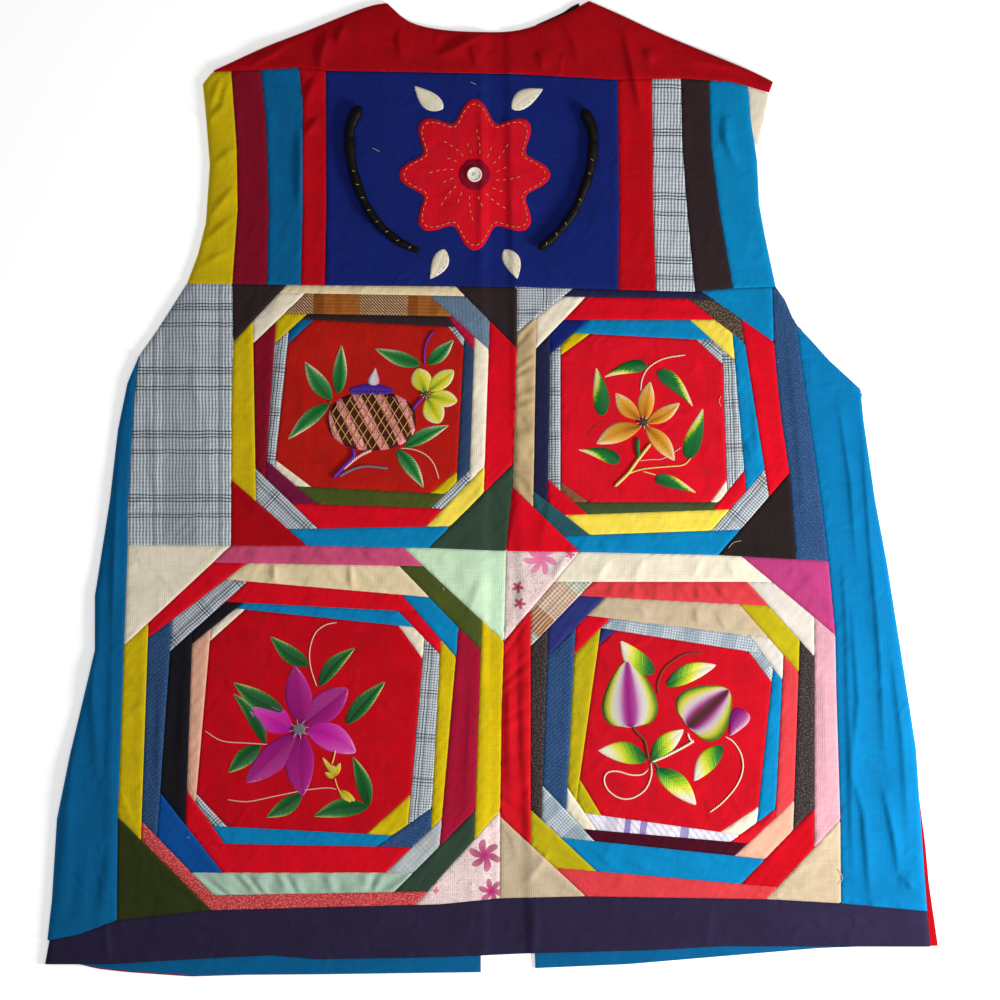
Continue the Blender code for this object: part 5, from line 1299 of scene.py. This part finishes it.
# Pale sewing thread: small bright dashes on the red and the cream.
gold_thread = twisted("pale gold thread", "#D8B46A")
cream_thread = twisted("cream thread", "#E8DCC0")
for number, row in enumerate(ROSETTE_LEAVES):
    low, high = leaf_sides(*row, 1.5)
    leaf = satin(f"rosette_leaf_{number + 1}", low, high, cream, 1.0, 0.25)
    leaf["plan"] = plan_of(low, high, [low[0], high[0]], [low[-1], high[-1]])
    held_by(leaf)
    # The stitches run up one side of the leaf and down the other, a little inside its edge.
    across = [(np.array(p), np.array(q)) for p, q in zip(low, high)]
    line = [tuple(p + (q - p) * LEAF_STITCH_IN) for p, q in across[2:-2]]
    line += [tuple(q + (p - q) * LEAF_STITCH_IN) for p, q in across[::-1][2:-2]]
    held_by(stitches(f"rosette_leaf_{number + 1}_stitches", line, cream_thread, wide=0.35,
                     over=0.75))


def petal_ring(scale, start=0, end=360):
    """A line inside the rosette's edge, at a share of its size."""
    cx, cy = ROSETTE["middle"]
    return [(cx + (x - cx) * scale, cy + (y - cy) * scale) for x, y in petalled(start, end)]


ring = sum((petal_ring(0.93, k * 45, k * 45 + 45)[:-1] for k in range(8)), [])
held_by(stitches("rosette_edge_stitches", ring, gold_thread, over=1.25))
cx, cy = ROSETTE["middle"]
for ray in range(16):
    turn = math.radians(ray * 22.5 + 8)
    inner, outer = (14, 33) if ray % 2 else (14, 24)
    line = [(cx + r * math.cos(turn + (r - 14) * 0.012), cy + r * math.sin(turn + (r - 14) * 0.012))
            for r in np.linspace(inner, outer, 8)]
    held_by(stitches(f"rosette_ray_{ray + 1}", line, gold_thread, over=1.3))

# The rosette's middle is a small round of burgundy cotton under a pearl shirt button.
HUB_RADIUS = 11
hub_sides = [[(cx + HUB_RADIUS * math.cos(t), cy + HUB_RADIUS * math.sin(t))
              for t in np.radians(np.linspace(start, end, 12))]
             for start, end in ((225, 315), (135, 45), (225, 135), (-45, 45))]
hub = cloth("rosette_hub", *hub_sides, burgundy, (), (), PANEL_FOLDS, own_uv=False, depth=0.7,
            over=1.9, thick=0.5)
held_by(hub)

# Shell: pale, clouded and glossy.
pearl, pearl_tree, pearl_shader = blank_material("shell button")
clouds = add(pearl_tree, "ShaderNodeTexNoise", {"Vector": add(
    pearl_tree, "ShaderNodeTexCoord").outputs["Object"], "Scale": 420.0, "Detail": 3.0})
ramp = add(pearl_tree, "ShaderNodeValToRGB", {"Fac": clouds.outputs["Fac"]})
ramp.color_ramp.elements[0].color = linear("#C9C2B2")
ramp.color_ramp.elements[1].color = linear("#F4EEE2")
pearl_tree.links.new(ramp.outputs["Color"], pearl_shader.inputs["Base Color"])
pearl_shader.inputs["Roughness"].default_value = 0.22
pearl_shader.inputs["Coat Weight"].default_value = 0.4
BUTTON_RADIUS, BUTTON_THICK, BUTTON_OVER = 5.2, 1.7, 3.1
BUTTON_RIM, BUTTON_SLOPE, BUTTON_DEPTH, BUTTON_ROUND = 1.1, 0.5, 0.55, 0.3
bpy.ops.object.select_all(action="DESELECT")
bpy.ops.mesh.primitive_cylinder_add(vertices=40, radius=BUTTON_RADIUS * MM,
                                    depth=BUTTON_THICK * MM, location=(
    (cx - MIDDLE[0]) * MM, (cy - MIDDLE[1]) * MM, (TOP + BUTTON_OVER) * MM))
button = bpy.context.object
button.name = "rosette_button"
bpy.ops.object.transform_apply(location=True, rotation=True, scale=True)
bpy.ops.object.mode_set(mode="EDIT")
bpy.ops.mesh.select_all(action="DESELECT")
bpy.ops.object.mode_set(mode="OBJECT")
for face in button.data.polygons:
    face.select = face.normal.z > 0.9
bpy.ops.object.mode_set(mode="EDIT")
bpy.ops.mesh.inset(thickness=BUTTON_RIM * MM)
bpy.ops.mesh.inset(thickness=BUTTON_SLOPE * MM, depth=-BUTTON_DEPTH * MM)
bpy.ops.object.mode_set(mode="OBJECT")
bevel = button.modifiers.new("rounded rim", "BEVEL")
bevel.width, bevel.segments = BUTTON_ROUND * MM, 3
bpy.ops.object.modifier_apply(modifier=bevel.name)
bpy.ops.object.shade_smooth_by_angle(angle=math.radians(40))
button.data.materials.append(pearl)
held_by(button)
cross = [(cx - 2, cy - 2), (cx + 2, cy + 2)], [(cx - 2, cy + 2), (cx + 2, cy - 2)]
for number, line in enumerate(cross):
    held_by(stitches(f"button_thread_{number + 1}", line, cream_thread, long=3.6, gap=0.2,
                     wide=0.8, over=3.5))

# The embroidery on the four blocks
# Flowers, a fruit and leaves in shiny rayon thread: flat stitches side by side, dyed in shades
# along the thread, and thin couched stems. They are worked through each block's red cotton.


def shaded(name, stops, along=1.0, across=0.0, skew=0.0, slant=0.8):
    """Flat stitches of shiny rayon in shades: each thread catches the light on its own, and
    changes colour a little before or after its neighbour. The shade at a place comes from how
    far along the leaf it is, how far from its middle, and how far to its left."""
    made, tree, shader = blank_material(name)
    spot = add(tree, "ShaderNodeSeparateXYZ", {
        "Vector": add(tree, "ShaderNodeUVMap").outputs["UV"]})
    aside = add(tree, "ShaderNodeMath", {0: spot.outputs["Y"]}, operation="ABSOLUTE").outputs[0]
    thread = add(tree, "ShaderNodeMath", {0: aside, 1: -slant, 2: spot.outputs["X"]},
                 operation="MULTIPLY_ADD").outputs[0]
    share = add(tree, "ShaderNodeSeparateXYZ", {
        "Vector": add(tree, "ShaderNodeUVMap", uv_map="shares").outputs["UV"]})
    level = add(tree, "ShaderNodeMath", {0: share.outputs["X"], 1: along}, operation="MULTIPLY")
    side = add(tree, "ShaderNodeMath", {0: share.outputs["Y"], 1: 2.0, 2: -1.0},
               operation="MULTIPLY_ADD").outputs[0]
    level = add(tree, "ShaderNodeMath", {0: side, 1: skew, 2: level.outputs[0]},
                operation="MULTIPLY_ADD").outputs[0]
    side = add(tree, "ShaderNodeMath", {0: side}, operation="ABSOLUTE").outputs[0]
    level = add(tree, "ShaderNodeMath", {0: side, 1: across, 2: level},
                operation="MULTIPLY_ADD").outputs[0]
    jagged = add(tree, "ShaderNodeTexNoise", {"W": thread, "Scale": 1.3, "Detail": 1.0},
                 noise_dimensions="1D").outputs["Fac"]
    level = add(tree, "ShaderNodeMath", {0: jagged, 1: 0.34, 2: level},
                operation="MULTIPLY_ADD").outputs[0]
    level = add(tree, "ShaderNodeMath", {0: level, 1: 0.17}, operation="SUBTRACT").outputs[0]
    ramp = add(tree, "ShaderNodeValToRGB", {"Fac": level})
    dots = ramp.color_ramp.elements
    for _ in stops[2:]:
        dots.new(0.5)
    for dot, (at, code) in zip(dots, stops):
        dot.position, dot.color = at, linear(code)
    # Painted light and shade: each thread is lighter along its crest and darker where it meets the
    # next.
    turn = add(tree, "ShaderNodeMath", {0: thread, 1: 2 * math.pi / 0.9}, operation="MULTIPLY")
    wave = add(tree, "ShaderNodeMath", {0: turn.outputs[0]}, operation="SINE").outputs[0]
    tone = add(tree, "ShaderNodeMapRange", {"Value": wave, "From Min": -1.0, "To Min": 0.64,
                                            "To Max": 1.06}).outputs["Result"]
    dye(tree, shader, ramp.outputs["Color"], tone, wave, 0.12, 0.5, 0.22)
    return made


# The dyed shades of each leaf and petal, from its base or its middle outwards.
BANDS = ((0.0, "#0A4A26"), (0.22, "#1E7E26"), (0.38, "#96CA1C"), (0.52, "#F0EA34"),
         (0.72, "#F4F0D6"), (1.0, "#F6DCD6"))
LOOKS = {
    "green leaf": shaded("shaded green rayon", [
        (0.0, "#0B4E1E"), (0.42, "#0E7A2E"), (0.62, "#4E9A50"), (0.78, "#E2D2AE"),
        (1.0, "#F2D6C6")], 0.5, 0.52),
    "tipped leaf": shaded("green rayon with yellow tips", [
        (0.0, "#0A5A26"), (0.52, "#0C7C30"), (0.6, "#86BE24"), (0.66, "#EAE22C"),
        (0.8, "#F4E6A0"), (1.0, "#F2DCCC")], 0.9, 0.0, 0.3),
    "dark leaf": shaded("dark green rayon", [
        (0.0, "#083A1A"), (0.5, "#0C6628"), (0.66, "#3E8A3C"), (0.8, "#C4CC6A"),
        (1.0, "#E4CFA0")], 0.46, 0.5),
    "banded leaf left": shaded("rayon banded from green to cream", BANDS, 0.9, 0.0, 0.14),
    "banded leaf right": shaded("rayon banded from green to white", BANDS, 0.9, 0.0, -0.14),
    "striped heart": shaded("rayon striped from magenta to green", [
        (0.0, "#A80884"), (0.2, "#C43CA8"), (0.42, "#EEDCE8"), (0.6, "#F4EFC8"),
        (0.72, "#EEE830"), (0.92, "#1C7A26")], 0.0, 1.0, slant=3.0),
    "brown striped heart": shaded("rayon striped from brown to green", [
        (0.0, "#4E2418"), (0.14, "#6A3038"), (0.24, "#B0108C"), (0.46, "#EED6E6"),
        (0.7, "#EEE830"), (0.92, "#1C7A26")], 0.0, 1.0, slant=3.0),
    "pink petal": shaded("rayon from purple to pink", [
        (0.0, "#8A0E74"), (0.3, "#B24E9C"), (0.55, "#E6B4D0"), (1.0, "#F2D2E0")], 0.3,
        0.0, 0.4),
    "magenta petal": shaded("magenta rayon", [
        (0.0, "#9A0A84"), (0.4, "#D20CA6"), (0.8, "#E050BC"), (1.0, "#F2B8DC")], 0.8, 0.24),
    "dark magenta petal": shaded("dark magenta rayon", [
        (0.0, "#8A0A6C"), (0.4, "#A80A7C"), (0.74, "#B8248E"), (0.9, "#E298C8")], 0.62, 0.3),
    "gold petal": shaded("gold rayon with cream tips", [
        (0.0, "#5A3410"), (0.14, "#A8640C"), (0.36, "#DC8E0E"), (0.62, "#EFB24A"),
        (0.8, "#F6E2BE"), (0.95, "#FAF0DC")], 0.62, 0.36),
    "yellow petal": shaded("yellow rayon with green veins", [
        (0.0, "#2E6A1E"), (0.2, "#A8B81A"), (0.4, "#E6DE1A"), (0.62, "#EDE45A"),
        (0.85, "#F8F4DC")], 0.5, 0.5),
    "yellow bud": shaded("yellow rayon", [(0.0, "#B89A1A"), (0.5, "#E2CE2A"),
                                          (1.0, "#F0E8A0")], 0.9),
    "white spike": shaded("white and pink rayon", [
        (0.0, "#F2E6E2"), (0.45, "#EED4DC"), (1.0, "#B85A9C")], 0.0, 1.0),
    "purple cap": shaded("purple rayon", [(0.0, "#3A0E84"), (0.6, "#4A129C"),
                                          (1.0, "#6A2AB0")], 0.3, 0.5, slant=0.0),
}
THREADS = {"cream": cream_thread}
for look, code in (("purple", "#6A1A9C"), ("pale pink", "#E8BCA8"), ("grey", "#75707C"),
                   ("brown", "#6A3A22"), ("green", "#1E6A2A"), ("pale yellow", "#E2CE6E")):
    THREADS[look] = twisted(f"{look} thread", code)
# Each leaf's or petal's row: its base, its tip, how wide it is, and leaf_sides's bend, belly and
# blunt. Each stem's row: how thick it is, its thread and its points.
STITCHED = {
    "upper_left": {
        "green leaf": (
            ((-111.9, 402.9), (-130.9, 429.5), 12.7, 1.1, 0.8, 0),
            ((-107.2, 406.7), (-105.0, 441.5), 10.4, 0.0, 0.75, 0),
            ((-113.6, 400.0), (-142.7, 374.6), 10.7, -1.3, 0.8, 0),
            ((-49.3, 427.1), (-82.0, 438.4), 10.7, 0.8, 0.8, 0),
            ((-44.9, 427.3), (-26.5, 444.7), 10.4, -0.5, 0.8, 0),
            ((-61.4, 369.7), (-29.5, 384.9), 10.0, 1.1, 0.8, 0),
            ((-66.7, 367.9), (-47.4, 340.7), 10.7, 1.1, 0.8, 0),
        ),
        "yellow petal": (
            ((-46.2, 408.0), (-52.3, 424.6), 15.0, 0.0, 1.05, 0.6),
            ((-44.2, 408.8), (-26.5, 423.3), 12.3, 0.0, 1.05, 0.6),
            ((-44.0, 405.4), (-23.9, 401.6), 12.3, 0.0, 1.05, 0.6),
            ((-45.6, 403.6), (-36.2, 386.2), 15.8, 0.0, 1.05, 0.6),
        ),
        "white spike": (
            ((-83.3, 412.3), (-81.2, 425.4), 9.9, 0.0, 0.6, 0.3),
        ),
        "purple cap": (
            ((-100.7, 409.1), (-68.1, 409.1), 10.2, 0.0, 1.0, 0.6),
        ),
    },
    "upper_right": {
        "gold petal": (
            ((106.8, 386.9), (110.8, 415.5), 11.8, 0.8, 0.95, 0.1),
            ((107.7, 386.2), (131.7, 400.5), 10.4, -1.1, 0.95, 0.1),
            ((107.1, 384.2), (128.0, 359.8), 12.3, 1.3, 0.95, 0.1),
            ((104.7, 384.2), (72.8, 371.9), 13.9, -1.6, 0.95, 0.1),
            ((103.7, 388.9), (86.4, 407.5), 11.8, 1.3, 0.95, 0.1),
        ),
        "tipped leaf": (
            ((108.7, 427.3), (77.9, 417.9), 10.4, -1.9, 0.62, 0.4),
            ((116.2, 423.3), (141.1, 397.3), 12.3, 2.1, 0.62, 0.4),
            ((136.8, 361.2), (147.8, 396.8), 13.4, 0.0, 0.68, 0.4),
            ((114.0, 348.0), (143.8, 337.1), 10.2, 1.3, 0.62, 0.4),
            ((89.9, 359.8), (59.9, 367.6), 11.0, -1.6, 0.62, 0.4),
            ((77.3, 391.2), (73.0, 425.2), 12.3, -0.8, 0.7, 0.4),
        ),
    },
    "lower_left": {
        "dark magenta petal": (
            ((-132.4, 175.0), (-138.0, 216.9), 19.3, 0.0, 0.9, 0.2),
            ((-131.9, 175.5), (-100.5, 200.9), 21.4, 0.0, 1.0, 0.3),
            ((-132.4, 169.6), (-132.4, 125.0), 21.1, -2.1, 0.95, 0.2),
            ((-136.6, 169.6), (-171.9, 134.8), 20.0, 1.1, 0.95, 0.3),
        ),
        "magenta petal": (
            ((-130.7, 172.3), (-94.8, 155.9), 20.0, 2.5, 0.95, 0.3),
            ((-138.7, 171.4), (-170.1, 186.2), 21.1, -1.4, 1.0, 0.3),
        ),
        "dark leaf": (
            ((-127.6, 216.6), (-155.1, 237.3), 12.1, 1.8, 0.8, 0),
            ((-121.2, 201.8), (-95.1, 229.4), 11.1, 2.9, 0.85, 0),
            ((-144.9, 183.9), (-181.0, 205.1), 14.3, 1.8, 0.85, 0),
            ((-158.0, 161.2), (-181.2, 197.6), 10.0, -3.2, 0.85, 0),
            ((-161.6, 161.2), (-184.4, 141.6), 12.5, -0.7, 0.85, 0),
            ((-102.1, 175.5), (-74.1, 205.9), 12.1, 1.1, 0.8, 0),
            ((-85.8, 118.0), (-97.3, 153.4), 11.1, -1.4, 0.8, 0),
            ((-85.8, 118.0), (-124.8, 111.2), 13.6, -2.5, 0.85, 0),
            ((-132.4, 127.3), (-158.0, 110.5), 11.8, 1.4, 0.85, 0),
        ),
        "yellow bud": (
            ((-109.8, 139.2), (-111.9, 147.3), 7.1, 0.0, 0.8, 0.2),
            ((-110.1, 139.2), (-105.7, 149.1), 4.6, 0.0, 0.8, 0),
            ((-110.1, 140.1), (-118.7, 153.0), 3.9, 0.0, 0.8, 0),
            ((-110.1, 138.4), (-116.9, 141.9), 4.6, 0.0, 0.8, 0),
            ((-106.6, 129.4), (-94.1, 118.7), 7.1, 0.0, 0.8, 0.2),
        ),
    },
    "lower_right": {
        "striped heart": (
            ((97.4, 173.1), (94.7, 220.3), 43.1, 0.0, 0.67, 1.0),
        ),
        "brown striped heart": (
            ((137.0, 173.7), (165.9, 199.8), 45.3, 0.0, 0.68, 1.0),
        ),
        "pink petal": (
            ((176.2, 185.9), (166.5, 167.6), 16.1, 0.0, 0.62, 0.9),
        ),
        "banded leaf left": (
            ((113.8, 211.3), (89.9, 234.1), 15.4, 2.6, 0.8, 0.2),
            ((108.7, 150.9), (74.3, 157.3), 15.4, -2.2, 0.85, 0.2),
        ),
        "banded leaf right": (
            ((121.5, 202.6), (157.2, 217.1), 13.5, 2.2, 0.85, 0.2),
            ((111.3, 150.7), (134.4, 172.1), 13.8, 1.3, 0.85, 0.2),
            ((114.8, 144.8), (143.1, 119.1), 15.4, 1.6, 0.85, 0.2),
            ((161.7, 160.9), (141.5, 135.8), 14.1, -1.6, 0.85, 0.2),
        ),
    },
}
STEMS = {
    "upper_left": (
        (1.6, "purple", ((-39.9, 450.6), (-44.2, 445.8), (-46.9, 437.8), (-47.2, 427.1))),
        (2.2, "purple", ((-48.0, 404.3), (-51.5, 400.9), (-55.5, 395.6))),
        (0.9, "pale pink", ((-64.3, 368.8), (-54.9, 367.9), (-46.2, 364.1), (-40.5, 357.4),
          (-36.9, 347.0))),
        (3.0, "purple", ((-98.1, 368.8), (-96.5, 363.4), (-103.1, 356.1), (-111.2, 347.8))),
        (2.0, "pale pink", ((-83.7, 367.5), (-91.1, 364.1), (-97.8, 359.4), (-104.5, 353.4))),
        (1.8, "grey", ((-107.2, 348.6), (-99.1, 353.1), (-88.4, 356.1), (-72.3, 354.5))),
        (0.8, "brown", ((-112.8, 398.9), (-109.8, 390.9), (-104.5, 384.2), (-97.8, 378.8),
          (-95.6, 368.8))),
        (1.6, "green", ((-111.9, 402.3), (-114.4, 400.0))),
    ),
    "upper_right": (
        (0.9, "cream", ((104.1, 408.6), (105.2, 417.0), (109.1, 424.4), (116.4, 429.7),
          (124.5, 432.4), (135.7, 434.0))),
        (2.2, "pale yellow", ((111.4, 372.1), (106.0, 365.4), (101.7, 359.8), (95.0, 350.7),
          (85.6, 341.6))),
        (3.0, "green", ((102.2, 376.2), (102.0, 368.8), (103.0, 362.1))),
        (1.0, "pale yellow", ((88.3, 345.1), (95.0, 350.4), (105.7, 354.1), (121.8, 355.8),
          (133.9, 357.1), (139.5, 362.1))),
        (0.6, "pale pink", ((103.0, 359.8), (111.1, 360.8), (120.5, 361.7), (132.8, 369.5))),
        (0.5, "brown", ((66.9, 377.8), (72.2, 384.2), (78.9, 387.1), (88.6, 386.9))),
        (0.8, "pale yellow", ((105.2, 352.6), (109.7, 351.5), (115.1, 349.9))),
        (0.4, "brown", ((137.9, 357.1), (144.6, 354.7), (153.9, 352.6))),
    ),
    "lower_left": (
        (0.9, "pale pink", ((-122.3, 201.6), (-126.6, 215.1), (-127.3, 227.6), (-123.5, 239.2),
          (-116.4, 245.1), (-108.0, 246.9))),
        (0.8, "pale pink", ((-156.9, 161.6), (-170.8, 162.5), (-188.7, 164.1), (-201.2, 171.4))),
        (0.8, "pale pink", ((-185.5, 123.0), (-170.8, 121.6), (-153.0, 125.1), (-131.6, 129.4),
          (-115.5, 131.2), (-108.3, 130.1))),
        (0.8, "pale yellow", ((-109.8, 138.4), (-108.0, 132.1), (-103.7, 123.7))),
        (1.0, "pale yellow", ((-109.1, 158.4), (-110.8, 150.9), (-112.3, 147.3))),
    ),
    "lower_right": (
        (1.1, "cream", ((111.3, 149.6), (111.6, 140.3), (107.6, 130.3), (98.7, 124.2),
          (89.9, 123.9), (81.9, 129.0), (78.6, 136.3), (81.0, 141.9), (88.3, 142.7), (97.1, 140.3),
          (105.2, 140.6), (109.7, 144.3))),
        (1.8, "cream", ((111.3, 149.0), (121.2, 153.1), (130.9, 158.0), (138.9, 162.5),
          (141.5, 164.7))),
        (1.4, "cream", ((137.0, 169.9), (138.3, 165.7), (141.5, 162.5))),
        (1.1, "cream", ((163.0, 167.3), (169.4, 162.8), (174.6, 153.9), (175.5, 143.5),
          (171.0, 132.3), (161.4, 121.0), (151.8, 113.6))),
        (1.6, "brown", ((98.1, 174.7), (102.3, 168.9), (106.8, 164.4), (108.4, 158.0), (109.7, 150.9))),
        (1.2, "brown", ((116.7, 196.2), (116.1, 204.6), (120.4, 214.2), (127.7, 220.6),
          (136.5, 225.1), (148.2, 225.5))),
        (1.4, "green", ((110.0, 149.9), (114.8, 147.5), (117.2, 141.9))),
    ),
}
for block, looks in STITCHED.items():
    for look, rows in looks.items():
        pieces = [satin(f"{block}_stitched", *leaf_sides(*row), LOOKS[look]) for row in rows]
        held_by(joined(f"{block}_{look.replace(' ', '_')}", pieces))
    for number, (thick, look, points) in enumerate(STEMS[block]):
        stem = tube(f"{block}_stem_{number + 1}", smooth(points, 1.4),
                    lambda run: rounded(run, thick / 2, 16),
                    lambda x, y: TOP + lie(x, y, EVERY_FOLD) + 0.25 * thick,
                    THREADS[look], sides=8)
        held_by(stem)

# The fruit has a pink ground of flat stitches with dark brown stripes, and a lattice of thin
# gold threads over it.
FRUIT = {"middle": (-83.7, 387.9), "half": (30.8, 21.4), "stripe": 13.6, "tilt": 118}
FRUIT_RISE = 1.5


def fruit_stripes(tree, where, colour):
    """Slanting dark stripes whose edges are jagged by the stitches."""
    turned = add(tree, "ShaderNodeMapping", {"Vector": where, "Rotation": (
        0, 0, math.radians(90 - FRUIT["tilt"]))}).outputs["Vector"]
    across = add(tree, "ShaderNodeSeparateXYZ", {"Vector": turned}).outputs["X"]
    noise = add(tree, "ShaderNodeTexNoise", {"Vector": where, "Scale": 1.1}).outputs["Fac"]
    across = add(tree, "ShaderNodeMath", {0: noise, 1: 3.0, 2: across},
                 operation="MULTIPLY_ADD").outputs[0]
    beat = add(tree, "ShaderNodeMath", {0: across, 1: 2 * math.pi / FRUIT["stripe"]},
               operation="MULTIPLY").outputs[0]
    beat = add(tree, "ShaderNodeMath", {0: beat}, operation="SINE").outputs[0]
    dark = add(tree, "ShaderNodeMapRange", {"Value": beat, "From Min": -0.5, "From Max": -0.1})
    return add(tree, "ShaderNodeMix", {0: dark.outputs["Result"], 6: colour,
                                       7: linear("#4A1812")}, data_type="RGBA").outputs[2]


# Pink rayon crossed by dark brown stripes: dull beside the shiny leaves.
fruit_thread = woven("pink rayon in stitches with brown stripes", "#E08E8E", fruit_stripes,
                     mottle=0.25, slub=0.3, rough=0.5, relief=0.3)
turns = np.linspace(0, math.pi, 30)
cx, cy = FRUIT["middle"]
a, b = FRUIT["half"]
fruit_low = [(cx - a * math.cos(t), cy - b * math.sin(t) ** 0.8) for t in turns]
fruit_high = [(cx - a * math.cos(t), cy + b * math.sin(t) ** 0.8) for t in turns]
held_by(satin("upper_left_fruit", fruit_low, fruit_high, fruit_thread, FRUIT_RISE, 0.0))
# Gold thread: a warm fine net over the fruit.
gold = twisted("gold thread", "#C89A4E")
LATTICE_APART, LATTICE_TILTS, LATTICE_RADIUS = 5.3, (58, 122), 0.42
for way, tilt in enumerate(LATTICE_TILTS):
    ahead = np.array([math.cos(math.radians(tilt)), math.sin(math.radians(tilt))])
    right = np.array([ahead[1], -ahead[0]])
    for number in range(-6, 7):
        steps = np.linspace(-40, 40, 81)
        line = right * number * LATTICE_APART + steps[:, None] * ahead
        inside = (line[:, 0] / a) ** 2 + (line[:, 1] / b) ** 2 < 0.9
        line = line[inside]
        if len(line) < 5:
            continue
        away = 1 - (line[:, 1] / b) ** 2
        strand = tube(f"upper_left_lattice_{way}_{number + 6}", line + (cx, cy),
                      lambda run: rounded(run, LATTICE_RADIUS, 20),
                      lambda x, y: TOP + lie(x, y, EVERY_FOLD) + 0.1 + FRUIT_RISE * np.sqrt(np.clip(
                          1 - ((y - cy) / (b * np.clip(1 - ((x - cx) / a) ** 2, 0.05, 1) ** 0.4))
                          ** 2, 0, 1)), gold, sides=6)
        held_by(strand)

# Each flower's middle is a knot of dark and pale thread.
KNOTS = {"upper_left": ((-46.2, 406.7), 2.4, "#1E5A1E"), "upper_right": ((106.0, 386.9), 3.2,
         "#3A2A22"), "lower_left": ((-134.8, 172.3), 4.6, "#6E6A74")}
for block, (place, radius, code) in KNOTS.items():
    ring = [(place[0] - radius * math.cos(t), place[1] + radius * math.sin(t)) for t in turns]
    under = [(place[0] - radius * math.cos(t), place[1] - radius * math.sin(t)) for t in turns]
    knot = satin(f"{block}_knot", under, ring, twisted(f"knotted thread {code}", code), 2.0, 0.0)
    held_by(knot)
    for ray in range(8):
        turn = math.radians(45 * ray + 12)
        line = [(place[0] + r * math.cos(turn), place[1] + r * math.sin(turn))
                for r in np.linspace(radius * 0.5, radius * 1.7, 4)]
        held_by(stitches(f"{block}_knot_{ray + 1}", line, cream_thread, long=radius * 1.0,
                         gap=0.1, wide=0.45, over=1.3))

# Loose threads
# Ends of pale sewing thread that were left long or fell on the cloth, and the gold stitches
# that hold the stuffed cords down.

LOOSE = (
    ((165.3, 298.5), (168.7, 302.5), (172.0, 303.6), (174.7, 304.1)),
    ((-35.1, 271.4), (-33.3, 270.1), (-34.8, 269.1)), ((-213.7, 97.3), (-211.0, 95.9)),
    ((199.5, 429.7), (200.5, 428.7)), ((160.6, 405.6), (159.0, 401.6), (160.6, 397.6)),
    ((242.4, 74.9), (245.2, 67.9), (242.4, 63.7)), ((-83.8, 578.9), (-78.2, 576.1)),
    ((-97.8, 555.1), (-95.0, 549.5)), ((-15.2, 625.1), (-11.0, 623.0)),
)
LINT_RADIUS, LINT_OVER = 0.2, 0.5
# Sewing thread: pale, thin and dull.
lint = twisted("pale sewing thread", "#C8C2B8")
for number, points in enumerate(LOOSE):
    strand = tube(f"loose_thread_{number + 1}", smooth(points, 0.8),
                  lambda run: rounded(run, LINT_RADIUS, 10),
                  lambda x, y: TOP + lie(x, y, EVERY_FOLD) + LINT_OVER, lint, sides=6)
    held_by(strand)
for side, points in CORDS.items():
    held_by(stitches(f"cord_{side}_stitches", smooth(points, 3)[1:-1], gold_thread, long=2.4,
                     gap=7.0, wide=0.5, over=CORD_HEIGHT + CORD_RADIUS - TOP - 0.25,
                     slant=1.1))

low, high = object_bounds()
